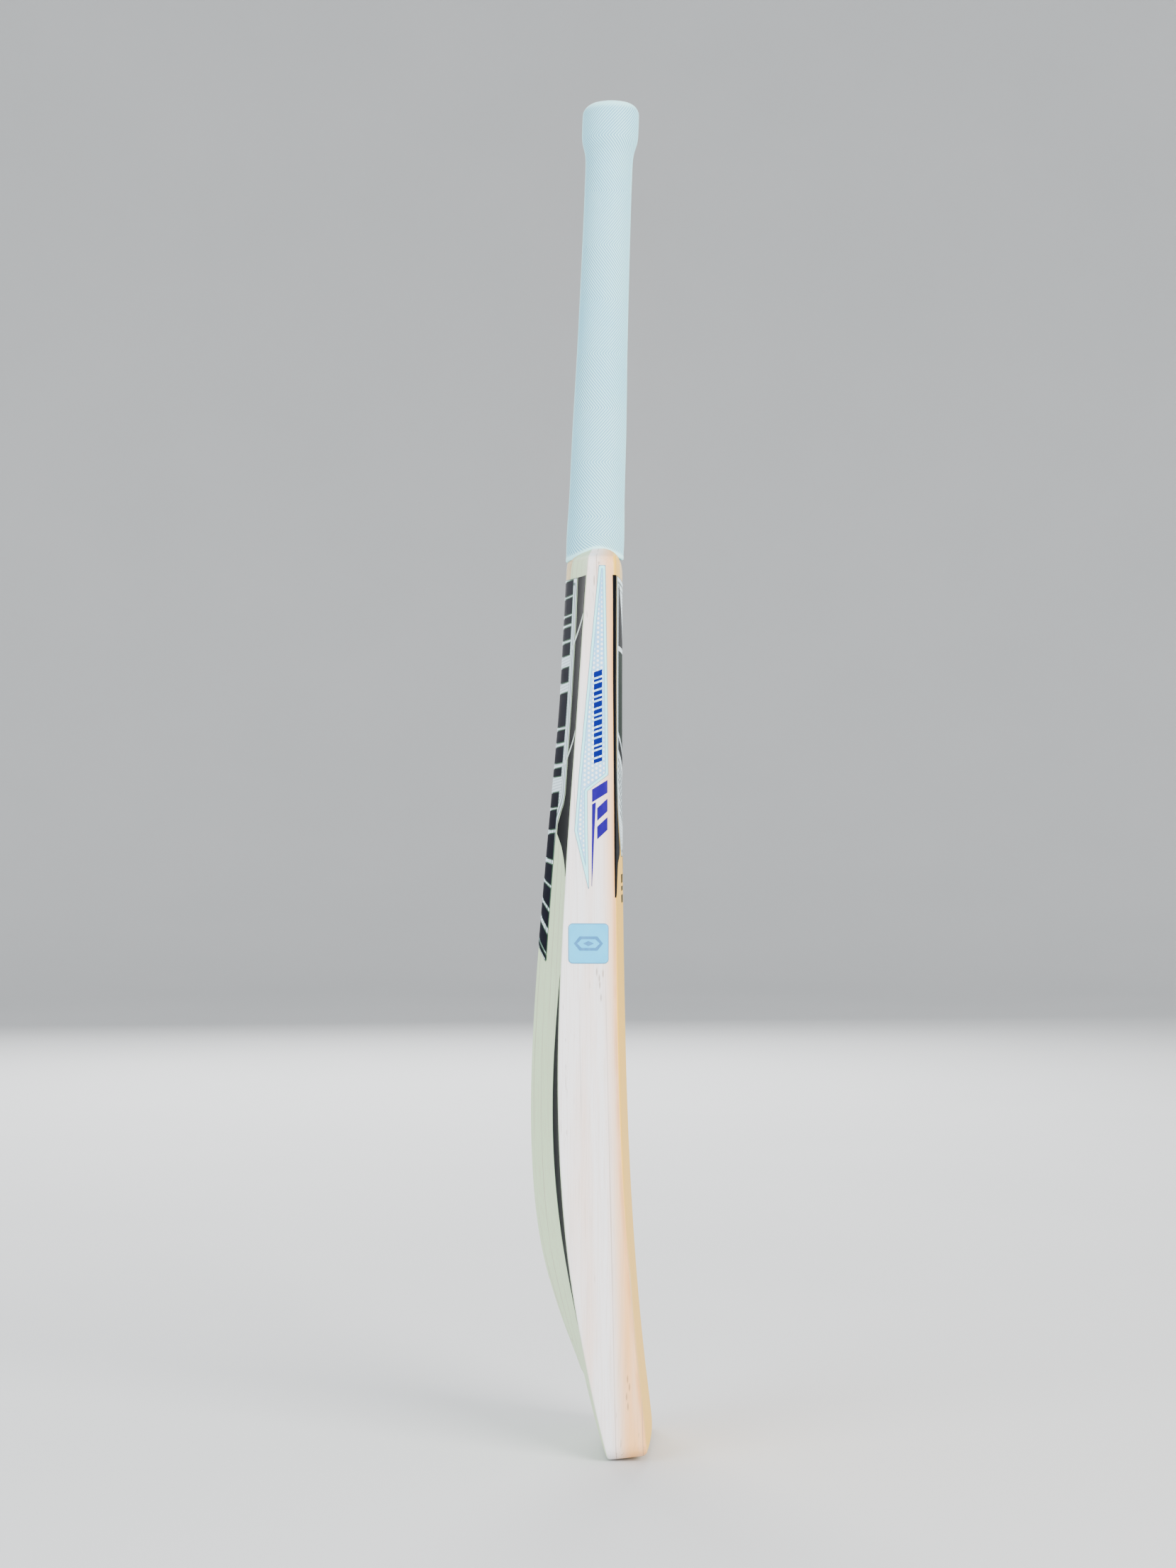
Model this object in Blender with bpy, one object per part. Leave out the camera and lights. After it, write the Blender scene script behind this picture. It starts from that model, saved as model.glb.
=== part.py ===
"""Cricket bat: a willow blade, a spliced cane handle with rubber springs, its binding, grip and stickers.

Lengths are in millimetres until a mesh is made, which turns them into metres.
The bat stands on its toe: +Z runs up to the handle, the flat hitting face looks along -Y,
the spine looks along +Y, and the origin is the middle of the toe's flat end.
"""

import bisect
import math

import bmesh
import bpy
from mathutils import Vector

MM = 0.001
TOUCH_GAP = 0.3          # between pieces that are glued or pulled over one another

# Blade, as (height, value) pairs that a smooth curve runs through
BLADE_HALF_WIDTH = 53.4
FACE_LINE = ((0, -15.6), (60, -8.9), (110, -4.5), (170, -0.8), (240, 1.8), (340, 3.7), (450, 4.6), (570, 4.3))
EDGE_FRONT = ((0, -13.4), (50, -8.4), (115, -2.2), (180, 2.4), (250, 5.0), (345, 6.3), (470, 7.5), (558, 8.0),
              (570, 9.5))
EDGE_BACK = ((0, 9.6), (50, 21.6), (115, 33.2), (180, 39.2), (250, 40.6), (345, 37.0), (470, 28.4), (558, 22.4),
             (570, 21.0))
SPINE_LINE = ((46, 29.4), (51, 31.4), (84, 43.9), (120, 54.3), (160, 60.0), (215, 62.0), (285, 59.2), (377, 51.7),
              (467, 43.8), (520, 40.9), (558, 39.0), (570, 38.4))
TOE_BACK_LINE = ((0, 15.6), (20, 21.6), (46, 28.5))
SPINE_FOOT = 48.0        # where the spine ends and the toe's flatter back begins
CROWN = 1.5              # rise of the face's middle over its sides
FACE_CORNER = 3.2        # rounding where the face meets an edge, across the width
EDGE_BULGE = 0.5
BACK_CORNER = 2.2
RIDGE_RADIUS = 6.0
FLANK_POWER = ((0, 0.8), (40, 0.85), (56, 1.2), (110, 1.5), (300, 1.45), (560, 1.15))

TOE_TILT = 0.12          # the toe is square to the bowed face, so its back is lower than its front
TOE_TILT_HEIGHT = 60.0   # the tilt has faded out by here
TOE_CORNER = 10.0        # radius of the toe's corners, seen from the face
TOE_FACE_RADIUS = 5.0
TOE_BACK_RADIUS = 1.8

SHOULDER_START = 553.0
SHOULDER_RADIUS = 10.0
SHOULDER_BREAK = 561.0   # the round corner turns into the slope up to the handle here
SHOULDER_TOP = 568.5
SHOULDER_TOP_HALF_WIDTH = 16.0
SHOULDER_CROWN = 569.5   # the arch from face to back would close at this height

# Handle: its axis leans towards the face
AXIS_Y = 20.75
AXIS_HEIGHT = 576.0
AXIS_SLOPE = -0.0365
OVAL = 0.94              # a handle's width over its depth
BARE_HALF_DEPTH = ((555, 15.5), (576, 15.2), (603, 14.6), (644, 14.1), (698, 13.1), (766, 12.2), (851, 12.0))
HANDLE_FOOT = 559.0
HANDLE_TOP = 850.8
HANDLE_STATIONS = (603, 644, 698, 766, 810)
HANDLE_COUNT = 24        # points round the stick and its binding
CUTTER_TOP = 600.0       # above the shoulders
CUTTER_DEPTH = (-40.0, 90.0)
SPLICE_TIP = 425.0
SPLICE_TIP_HALF_WIDTH = 1.5
SPLICE_SLOPE = 0.0996    # half width gained for each millimetre of height
CANE_ACROSS = 4.2        # the joints between three canes across lie this far from the middle
SPRING_OFFSETS = (-7.0, 0.0, 7.0)
SPRING_THICKNESS = 1.6

BINDING_FOOT = 577.0
BINDING_TOP = 850.0
BINDING_THICKNESS = 0.7

GRIP_HALF_DEPTH = ((555, 18.0), (576, 18.4), (603, 17.65), (644, 17.2), (698, 16.0), (766, 15.15), (807, 14.95),
                   (820, 15.4), (829, 17.6), (837, 17.95), (846, 17.9))
GRIP_RIM = 560.0         # the rim's height on the face and back
GRIP_ARCH = 8.0          # how far it rises over the shoulders
GRIP_ARCH_Y = 18.5
GRIP_ARCH_WIDTH = 13.5
GRIP_FOOT_SHARES = (0, 0.12, 0.5, 1.0)   # rows of the grip between its rim and the binding's foot
SEAT_MIDDLE = 566.0      # height of the middle of the grip's seat on the blade
GRIP_TOP = 853.4
GRIP_TOP_DROP = 8.0      # height of the rounding at the top
GRIP_TOP_INSET = 9.4
GRIP_HOLE = 7.5
GRIP_LIP = 2.3
GRIP_COUNT = 32          # points round the grip

# Stickers
STICKER_GAP = 0.4
STICKER_THICKNESS = 0.2
STICKER_MARGIN = 0.4     # between a stripe and the rounded corner beside it
BADGE_SIDE = 25.0
BADGE_CENTRE = (22.6, 320.6)
BADGE_CORNER = 3.0

# Outline of the long edge sticker, as (height, front, back): cut across on the face's side, with a point below
EDGE_STICKER = ((555, 12.0, 16.2), (510, 11.3, 20.6), (465, 10.6, 24.8), (425, 10.2, 28.6), (420, 16.8, 29.0),
                (415, 23.2, 29.4), (390.4, 23.0, 31.4), (354.5, 22.2, 22.8))
BAR_TOP = 422.0
BAR_PITCH = 11.5
BAR_HEIGHT = 8.0
BAR_SLANT = 6.0
BAR_FRONT = 10.8
BAR_BACKS = (20.4, 17.2, 17.2)

# Half widths and widths of the other stickers, as (height, width)
BACK_STICKER = ((549, 29.2), (500, 31.0), (450, 31.2), (413, 31.4), (407, 29.5), (402, 25.0), (396, 20.2),
                (388, 18.5), (366, 18.0), (345, 18.0), (318, 16.5))
BACK_NOTCH = 11.0        # the foot of the back sticker is cut in like a swallow's tail
BACK_NOTCH_START = 386.0
BACK_NOTCH_FADE = 60.0
BACK_STRIPE = ((549, 20.0), (520, 18.0), (480, 18.0), (413, 17.5), (407, 19.5), (402, 24.0), (394, 29.5),
               (388, 29.5), (380, 18.0), (372, 9.5), (362, 0.6))
CRESCENT_FOOT = 84.0
CRESCENT_TOP = 301.0
CRESCENT_WIDTH = 16.0
FACE_STICKER = ((549, 44), (480, 44), (420, 42.5), (405, 38.5), (390, 28.5), (380, 17), (373, 6))
FACE_STRIPE = ((549, 3.6), (480, 3.6), (430, 5), (405, 9), (390, 18), (379, 28), (375, 26), (370, 11), (362, 5),
               (349, 0.4))

WILLOW = (0.86, 0.77, 0.62)
CANE = (0.80, 0.66, 0.42)
RUBBER_BLACK = (0.03, 0.03, 0.03)
TWINE = (0.70, 0.64, 0.52)
GRIP_WHITE = (0.80, 0.90, 0.93)
STICKER_BLUE = (0.62, 0.83, 0.93)
BADGE_BLUE = (0.42, 0.78, 0.92)
PURPLE = (0.09, 0.06, 0.50)
PALE = (0.75, 0.80, 0.82)
BLACK = (0.01, 0.012, 0.018)


def clear_scene():
    for thing in list(bpy.data.objects):
        bpy.data.objects.remove(thing, do_unlink=True)


def make_material(name, colour, roughness, metallic=0.0):
    material = bpy.data.materials.new(name)
    material.use_nodes = True
    shader = material.node_tree.nodes["Principled BSDF"]
    shader.inputs["Base Color"].default_value = (*colour, 1.0)
    shader.inputs["Roughness"].default_value = roughness
    shader.inputs["Metallic"].default_value = metallic
    return material


def curve(points, at):
    """Value at a height of the smooth curve through (height, value) points; level beyond its ends."""
    heights = [point[0] for point in points]
    at = min(max(at, heights[0]), heights[-1])
    i = min(max(bisect.bisect_right(heights, at) - 1, 0), len(points) - 2)

    def slope(k):
        low, high = points[max(k - 1, 0)], points[min(k + 1, len(points) - 1)]
        return (high[1] - low[1]) / (high[0] - low[0])

    (z0, y0), (z1, y1) = points[i], points[i + 1]
    span = z1 - z0
    t = (at - z0) / span
    rise = y0 * (2 * t**3 - 3 * t**2 + 1) + y1 * (3 * t**2 - 2 * t**3)
    return rise + span * (slope(i) * (t**3 - 2 * t**2 + t) + slope(i + 1) * (t**3 - t**2))


def smooth_step(t):
    t = min(max(t, 0.0), 1.0)
    return t * t * (3 - 2 * t)


def corner_inset(radius, above):
    """How far a rounded bottom corner has drawn in at this height above the bottom."""
    if above >= radius:
        return 0.0
    return radius - math.sqrt(radius**2 - (radius - above) ** 2)


# Blade -------------------------------------------------------------------------------------------


def half_width(z):
    if z < TOE_CORNER:
        return BLADE_HALF_WIDTH - corner_inset(TOE_CORNER, z)
    if z <= SHOULDER_START:
        return BLADE_HALF_WIDTH
    if z <= SHOULDER_BREAK:
        return BLADE_HALF_WIDTH - corner_inset(SHOULDER_RADIUS, SHOULDER_START + SHOULDER_RADIUS - z)
    start = half_width(SHOULDER_BREAK)
    share = (z - SHOULDER_BREAK) / (SHOULDER_TOP - SHOULDER_BREAK)
    return start + (SHOULDER_TOP_HALF_WIDTH - start) * share


def shoulder_inset(z):
    """How far the face and the back have drawn in where the shoulder is arched from face to back."""
    if z <= SHOULDER_START:
        return 0.0
    half = (curve(SPINE_LINE, z) - curve(FACE_LINE, z)) / 2
    share = (z - SHOULDER_START) / (SHOULDER_CROWN - SHOULDER_START)
    return half * (1 - math.sqrt(1 - share**4))


def face_middle(z):
    return curve(FACE_LINE, z) + corner_inset(TOE_FACE_RADIUS, z) + shoulder_inset(z)


def spine_middle(z):
    line = SPINE_LINE if z > SPINE_FOOT else TOE_BACK_LINE
    return curve(line, z) - corner_inset(TOE_BACK_RADIUS, z) - shoulder_inset(z)


def edge_front(z):
    return max(curve(EDGE_FRONT, z) + corner_inset(TOE_FACE_RADIUS, z), face_middle(z) + CROWN + 0.4)


def edge_back(z):
    return min(curve(EDGE_BACK, z) - corner_inset(TOE_BACK_RADIUS, z), spine_middle(z) - 1.5)


def face_y(x, z):
    """The face from its middle to where its rounded corner starts."""
    return face_middle(z) + CROWN * (x / half_width(z)) ** 2


def back_y(x, z):
    """The back from its round ridge down the hollow flank to the edge's corner."""
    foot = edge_back(z) + BACK_CORNER / 2
    reach = math.hypot(half_width(z) - BACK_CORNER, RIDGE_RADIUS) - RIDGE_RADIUS
    share = 1 - (math.hypot(x, RIDGE_RADIUS) - RIDGE_RADIUS) / reach
    return foot + (spine_middle(z) - foot) * max(share, 0.0) ** curve(FLANK_POWER, z)


def tilt(z):
    return TOE_TILT * (1 - smooth_step(z / TOE_TILT_HEIGHT))


def blade_half_section(z):
    """(x, y) points from the middle of the face round the edge to the middle of the back."""
    width = half_width(z)
    front, back = edge_front(z), edge_back(z)
    points = [(width * share, face_y(width * share, z)) for share in (0, 0.3, 0.6, 0.82)]
    start_x = width - FACE_CORNER
    start_y = face_y(start_x, z)
    side_x = width - EDGE_BULGE
    for step in range(4):
        angle = math.radians(30 * step)
        x = start_x + (side_x - start_x) * math.sin(angle)
        points.append((x, front - (front - start_y) * math.cos(angle)))
    for share in (0.3, 0.7):
        points.append((width - EDGE_BULGE * (2 * share - 1) ** 2, front + (back - front) * share))
    points.append((side_x, back))
    points.append((width - 0.35 * BACK_CORNER, back + 0.3 * BACK_CORNER))
    flank_x = width - BACK_CORNER
    for share in (1.0, 0.9, 0.76, 0.6, 0.45, 0.3, 0.2, 0.11, 0.05, 0):
        points.append((flank_x * share, back_y(flank_x * share, z)))
    return points


def blade_section(z):
    half = blade_half_section(z)
    whole = half + [(-x, y) for x, y in reversed(half[1:-1])]
    return [Vector((x, y, z - tilt(z) * y)) for x, y in whole]


def blade_heights():
    toe = [0, 0.5, 1.8, 5, 10, 24, 38, 46]
    spine = [50, 58, 70, 84, 102, 122, 146, 176, 215, 262, 320, 385, 420, 450, 480, 510, 545]
    shoulder = [SHOULDER_START, 556.5, 559, SHOULDER_BREAK, 563, 565, 567, SHOULDER_TOP]
    return toe + spine + shoulder


# Meshes ------------------------------------------------------------------------------------------


def mesh_object(name, mesh_data, material):
    """An object from a bmesh in millimetres."""
    bmesh.ops.scale(mesh_data, vec=(MM, MM, MM), verts=mesh_data.verts)
    bmesh.ops.recalc_face_normals(mesh_data, faces=mesh_data.faces)
    if mesh_data.calc_volume(signed=True) < 0:
        bmesh.ops.reverse_faces(mesh_data, faces=mesh_data.faces)
    mesh = bpy.data.meshes.new(name)
    mesh_data.to_mesh(mesh)
    mesh_data.free()
    if material:
        mesh.materials.append(material)
    mesh.shade_smooth()
    mesh.set_sharp_from_angle(angle=math.radians(35))
    thing = bpy.data.objects.new(name, mesh)
    bpy.context.collection.objects.link(thing)
    return thing


def loft(name, loops, material=None, ring=False):
    """Skin loops of equally many points. A ring joins its last loop to its first; others get end caps."""
    mesh_data = bmesh.new()
    rows = [[mesh_data.verts.new(point) for point in loop] for loop in loops]
    pairs = list(zip(rows, rows[1:]))
    if ring:
        pairs.append((rows[-1], rows[0]))
    for low, high in pairs:
        for i in range(len(low)):
            j = (i + 1) % len(low)
            mesh_data.faces.new((low[i], low[j], high[j], high[i]))
    if not ring:
        mesh_data.faces.new(list(reversed(rows[0])))
        mesh_data.faces.new(rows[-1])
    return mesh_object(name, mesh_data, material)


def box(name, low, high, shear_y=0.0):
    """A box whose walls across Y follow the handle's lean when it is sheared."""
    loops = []
    for z in (low[2], high[2]):
        shift = shear_y * (z - AXIS_HEIGHT)
        corners = ((low[0], low[1]), (high[0], low[1]), (high[0], high[1]), (low[0], high[1]))
        loops.append([Vector((x, y + shift, z)) for x, y in corners])
    return loft(name, loops)


def as_cutter(thing):
    thing.hide_render = True
    thing.display_type = "WIRE"
    return thing


def apply_boolean(thing, operation, tool):
    modifier = thing.modifiers.new(operation.lower(), "BOOLEAN")
    modifier.operation = operation
    modifier.solver = "EXACT"
    modifier.object = tool
    settled = bpy.data.meshes.new_from_object(thing.evaluated_get(bpy.context.evaluated_depsgraph_get()))
    thing.modifiers.clear()
    triangles = bmesh.new()
    triangles.from_mesh(settled)
    bmesh.ops.triangulate(triangles, faces=triangles.faces)
    triangles.to_mesh(settled)
    triangles.free()
    thing.data = settled


def piece_of(name, blank, cell, material):
    """A new piece: the part of the blank inside a cell."""
    piece = bpy.data.objects.new(name, blank.data.copy())
    bpy.context.collection.objects.link(piece)
    bpy.context.view_layer.update()
    apply_boolean(piece, "INTERSECT", cell)
    piece.data.materials.clear()
    piece.data.materials.append(material)
    return piece


# Handle ------------------------------------------------------------------------------------------


def axis_y(z):
    return AXIS_Y + AXIS_SLOPE * (z - AXIS_HEIGHT)


def oval_point(half_depth, z, angle):
    """A point of the handle's oval section; an angle of 0 is at +X."""
    return Vector((OVAL * half_depth * math.cos(angle), axis_y(z) + half_depth * math.sin(angle), z))


def oval(half_depth, z, count):
    return [oval_point(half_depth, z, math.tau * i / count) for i in range(count)]


def bare(z):
    return curve(BARE_HALF_DEPTH, z)


def bare_handle():
    heights = (HANDLE_FOOT, AXIS_HEIGHT, *HANDLE_STATIONS, HANDLE_TOP)
    return loft("handle_oval", [oval(bare(z), z, HANDLE_COUNT) for z in heights])


def splice_wedge(name, allowance):
    """The V of the splice, right through the blade's depth, wider by an allowance on each side."""
    tip_z = SPLICE_TIP - allowance
    tip = SPLICE_TIP_HALF_WIDTH + allowance
    top_half = SPLICE_TIP_HALF_WIDTH + SPLICE_SLOPE * (CUTTER_TOP - SPLICE_TIP) + allowance
    outline = ((-tip, tip_z), (tip, tip_z), (top_half, CUTTER_TOP), (-top_half, CUTTER_TOP))
    return loft(name, [[Vector((x, y, z)) for x, z in outline] for y in CUTTER_DEPTH])


def rim_height(angle, half_depth):
    """The grip's arched lower rim: low on the face and back, high over the shoulders."""
    y = axis_y(GRIP_RIM) + half_depth * math.sin(angle)
    return GRIP_RIM + GRIP_ARCH * math.exp(-(((y - GRIP_ARCH_Y) / GRIP_ARCH_WIDTH) ** 2))


def grip_row(half_depth_at, share, lowered):
    """A loop of the grip between its arched rim (share 0) and the binding's foot (share 1)."""
    points = []
    for i in range(GRIP_COUNT):
        angle = math.tau * i / GRIP_COUNT
        foot = rim_height(angle, curve(GRIP_HALF_DEPTH, GRIP_RIM)) - lowered
        z = foot + (BINDING_FOOT - foot) * share
        points.append(oval_point(half_depth_at(z), z, angle))
    return points


def grip_outer(z):
    if z <= GRIP_TOP - GRIP_TOP_DROP:
        return curve(GRIP_HALF_DEPTH, z)
    share = (z - GRIP_TOP + GRIP_TOP_DROP) / GRIP_TOP_DROP
    return curve(GRIP_HALF_DEPTH, z) - GRIP_TOP_INSET * (1 - math.sqrt(max(1 - share**2, 0.0)))


def grip_bore(z):
    return bare(z) + 2 * TOUCH_GAP + BINDING_THICKNESS


def make_grip(material):
    outer = (603, 644, 698, 766, 807, 815, 822, 829, 837, 845.4, 849, 851.5, 852.9, GRIP_TOP)
    rows = [grip_row(grip_outer, share, 0) for share in GRIP_FOOT_SHARES]
    rows += [oval(grip_outer(z), z, GRIP_COUNT) for z in outer]
    under_lip = GRIP_TOP - GRIP_LIP
    rows += [oval(GRIP_HOLE, GRIP_TOP, GRIP_COUNT), oval(GRIP_HOLE, under_lip, GRIP_COUNT)]
    rows += [oval(grip_bore(z), z, GRIP_COUNT) for z in (under_lip, 766, 698, 644, 603)]
    rows += [grip_row(grip_bore, share, 0) for share in reversed(GRIP_FOOT_SHARES)]
    return loft("grip", rows, material, ring=True)


def around_grip(z):
    return grip_outer(z) + TOUCH_GAP


def inside_grip(z):
    return grip_bore(z) - TOUCH_GAP


def grip_seat_cutter():
    """Room in the blade for everything inside the grip's outer surface, with a gap."""
    rows = [oval(1.0, SEAT_MIDDLE, GRIP_COUNT), grip_row(inside_grip, 0, TOUCH_GAP)]
    rows += [grip_row(around_grip, share, TOUCH_GAP) for share in GRIP_FOOT_SHARES]
    return as_cutter(loft("grip_seat_cutter", rows))


def grip_wall_cutter():
    """Room round the splice for the grip's wall, with a gap on both sides of it."""
    rows = [grip_row(around_grip, share, TOUCH_GAP) for share in GRIP_FOOT_SHARES]
    rows += [grip_row(inside_grip, share, TOUCH_GAP) for share in reversed(GRIP_FOOT_SHARES)]
    return as_cutter(loft("grip_wall_cutter", rows, ring=True))


def make_binding(material):
    heights = (BINDING_FOOT, *HANDLE_STATIONS, BINDING_TOP)
    inner = [oval(bare(z) + TOUCH_GAP, z, HANDLE_COUNT) for z in heights]
    outer = [oval(bare(z) + TOUCH_GAP + BINDING_THICKNESS, z, HANDLE_COUNT) for z in heights]
    return loft("twine_binding", outer + inner[::-1], material, ring=True)


def make_blade(blank, material):
    blade = bpy.data.objects.new("blade", blank.data.copy())
    bpy.context.collection.objects.link(blade)
    blade.data.materials.append(material)
    bpy.context.view_layer.update()
    apply_boolean(blade, "DIFFERENCE", as_cutter(splice_wedge("splice_cutter", TOUCH_GAP / 2)))
    apply_boolean(blade, "DIFFERENCE", grip_seat_cutter())
    blade.data.shade_smooth()
    blade.data.set_sharp_from_angle(angle=math.radians(35))
    return blade


def handle_blank(blade_blank):
    """The whole cane handle in one solid: an oval stick above, and a V flush with the blade below."""
    blank = bpy.data.objects.new("handle_blank", blade_blank.data.copy())
    bpy.context.collection.objects.link(blank)
    bpy.context.view_layer.update()
    apply_boolean(blank, "INTERSECT", as_cutter(splice_wedge("splice_wedge", -TOUCH_GAP / 2)))
    apply_boolean(blank, "DIFFERENCE", grip_wall_cutter())
    apply_boolean(blank, "UNION", as_cutter(bare_handle()))
    return as_cutter(blank)


def make_handle(blank, cane, rubber):
    """Twelve canes, three across and four deep, with a rubber spring between the layers."""
    reach = 60.0
    low, high = SPLICE_TIP - 10, HANDLE_TOP + 10
    half_gap = TOUCH_GAP / 2
    joints = (-reach, -CANE_ACROSS, CANE_ACROSS, reach)
    columns = [(a + half_gap, b - half_gap) for a, b in zip(joints, joints[1:])]
    half_spring = SPRING_THICKNESS / 2
    edges = [-reach]
    for offset in SPRING_OFFSETS:
        edges += [offset - half_spring - TOUCH_GAP, offset + half_spring + TOUCH_GAP]
    edges.append(reach)
    layers = list(zip(edges[0::2], edges[1::2]))
    for row, (front, back) in enumerate(layers, 1):
        for column, (left, right) in zip(("left", "middle", "right"), columns):
            corners = (left, AXIS_Y + front, low), (right, AXIS_Y + back, high)
            cell = as_cutter(box(f"cell_{row}_{column}", *corners, shear_y=AXIS_SLOPE))
            piece_of(f"cane_layer_{row}_{column}", blank, cell, cane)
    for number, offset in enumerate(SPRING_OFFSETS, 1):
        corners = (-reach, AXIS_Y + offset - half_spring, low), (reach, AXIS_Y + offset + half_spring, high)
        cell = as_cutter(box(f"spring_cell_{number}", *corners, shear_y=AXIS_SLOPE))
        piece_of(f"rubber_spring_{number}", blank, cell, rubber)


# Stickers ----------------------------------------------------------------------------------------


def on_back(x, z):
    return Vector((x, back_y(x, z), z))


def on_face(x, z):
    return Vector((x, face_y(x, z), z))


def on_edge(side, y, z):
    """A point of an edge: side is -1 or 1, and y runs from its front corner to its back one."""
    front, back = edge_front(z), edge_back(z)
    share = (y - front) / (back - front)
    return Vector((side * (half_width(z) - EDGE_BULGE * (2 * share - 1) ** 2), y, z))


def lifted(surface, u, v, outward, distance):
    """A point that stands off a surface along its normal."""
    step = 0.5
    point = surface(u, v)
    normal = (surface(u + step, v) - point).cross(surface(u, v + step) - point).normalized()
    if normal.dot(outward) < 0:
        normal.negate()
    return point + normal * distance


def sheet(name, surface, outward, rows, material):
    """A thin sticker on a surface: rows of (u, v) places, all with the same number of places."""
    mesh_data = bmesh.new()
    layers = []
    for distance in (STICKER_GAP, STICKER_GAP + STICKER_THICKNESS):
        points = [[lifted(surface, u, v, outward, distance) for u, v in row] for row in rows]
        layers.append([[mesh_data.verts.new(point) for point in row] for row in points])
    last_row, last_column = len(rows) - 1, len(rows[0]) - 1
    for grid in layers:
        for i in range(last_row):
            for j in range(last_column):
                mesh_data.faces.new((grid[i][j], grid[i][j + 1], grid[i + 1][j + 1], grid[i + 1][j]))
    border = [(0, j) for j in range(last_column)] + [(i, last_column) for i in range(last_row)]
    border += [(last_row, j) for j in range(last_column, 0, -1)] + [(i, 0) for i in range(last_row, 0, -1)]
    inner, outer = layers
    for (i, j), (k, m) in zip(border, border[1:] + border[:1]):
        mesh_data.faces.new((inner[i][j], inner[k][m], outer[k][m], outer[i][j]))
    return mesh_object(name, mesh_data, material)


def across(low, high, z, count):
    """Places from low to high at one height."""
    return [(low + (high - low) * i / (count - 1), z) for i in range(count)]


def edge_sticker_rows():
    return [across(front, back, z, 3) for z, front, back in EDGE_STICKER]


def badge_rows():
    """A square with round corners."""
    y0, z0 = BADGE_CENTRE
    half = BADGE_SIDE / 2
    levels = [(half, half - BADGE_CORNER), (half - 0.3 * BADGE_CORNER, half - 0.25 * BADGE_CORNER),
              (half - BADGE_CORNER, half)]
    heights = [(z0 - rise, reach) for rise, reach in levels]
    heights += [(z0 + rise, reach) for rise, reach in reversed(levels)]
    return [across(y0 - reach, y0 + reach, z, 3) for z, reach in heights]


def accent_bar_rows(number):
    """One of three slanted bars beside the long sticker's cut."""
    top, back = BAR_TOP - BAR_PITCH * number, BAR_BACKS[number]
    foot = top - BAR_HEIGHT
    return [[(BAR_FRONT, top), (back, top - BAR_SLANT)], [(BAR_FRONT, foot), (back, foot - BAR_SLANT)]]


def back_sticker_rows():
    """Over the spine from flank to flank, narrow below, with its foot's corners drawn down."""
    half = (0.06, 0.13, 0.25, 0.4, 0.56, 0.75, 1)
    shares = [-share for share in reversed(half)] + [0, *half]
    rows = []
    for z, reach in BACK_STICKER:
        drop = BACK_NOTCH * smooth_step((BACK_NOTCH_START - z) / BACK_NOTCH_FADE)
        rows.append([(reach * share, z - drop * abs(share)) for share in shares])
    return rows


def back_stripe_rows(side):
    """Along the flank's lower side next to an edge: it swells inwards and then ends in a point."""
    outer = BLADE_HALF_WIDTH - BACK_CORNER - STICKER_MARGIN
    shares = (0, 0.25, 0.5, 0.75, 1)
    return [[(side * (outer - width * share), z) for share in shares] for z, width in BACK_STRIPE]


def crescent_rows(side):
    """A sickle on the flank of the lower blade, along the edge's corner."""
    steps = 8
    outer = BLADE_HALF_WIDTH - BACK_CORNER - STICKER_MARGIN
    rows = []
    for i in range(steps + 1):
        z = CRESCENT_FOOT + (CRESCENT_TOP - CRESCENT_FOOT) * i / steps
        width = 0.4 + CRESCENT_WIDTH * math.sin(math.pi * i / steps) ** 0.65
        rows.append([(side * (outer - width * share), z) for share in (0, 0.5, 1)])
    return rows


def face_sticker_rows():
    shares = (-1, -0.6, -0.2, 0.2, 0.6, 1)
    return [[(reach * share, z) for share in shares] for z, reach in FACE_STICKER]


def face_stripe_rows(side):
    outer = BLADE_HALF_WIDTH - FACE_CORNER - STICKER_MARGIN
    return [[(side * outer, z), (side * (outer - width), z)] for z, width in FACE_STRIPE]


def make_stickers():
    blue = make_material("sticker_blue", STICKER_BLUE, 0.35)
    foil = make_material("badge_foil", BADGE_BLUE, 0.3)
    purple = make_material("sticker_purple", PURPLE, 0.35)
    pale = make_material("sticker_pale", PALE, 0.4)
    black = make_material("sticker_black", BLACK, 0.35)
    back, front = Vector((0, 1, 0)), Vector((0, -1, 0))
    sheet("back_sticker", on_back, back, back_sticker_rows(), pale)
    sheet("face_sticker", on_face, front, face_sticker_rows(), pale)
    for side, word in ((-1, "left"), (1, "right")):
        outward = Vector((side, 0, 0))

        def surface(y, z, side=side):
            return on_edge(side, y, z)

        sheet(f"edge_sticker_{word}", surface, outward, edge_sticker_rows(), blue)
        sheet(f"edge_badge_{word}", surface, outward, badge_rows(), foil)
        for number in range(3):
            sheet(f"edge_bar_{word}_{number + 1}", surface, outward, accent_bar_rows(number), purple)
        sheet(f"back_stripe_{word}", on_back, back, back_stripe_rows(side), black)
        sheet(f"back_crescent_{word}", on_back, back, crescent_rows(side), black)
        sheet(f"face_stripe_{word}", on_face, front, face_stripe_rows(side), black)


def main():
    clear_scene()
    blade_blank = as_cutter(loft("blade_blank", [blade_section(z) for z in blade_heights()]))
    make_blade(blade_blank, make_material("willow", WILLOW, 0.5))
    blank = handle_blank(blade_blank)
    make_handle(blank, make_material("cane", CANE, 0.55), make_material("spring_rubber", RUBBER_BLACK, 0.8))
    make_binding(make_material("twine", TWINE, 0.8))
    make_grip(make_material("grip_rubber", GRIP_WHITE, 0.6))
    make_stickers()


main()
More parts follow.
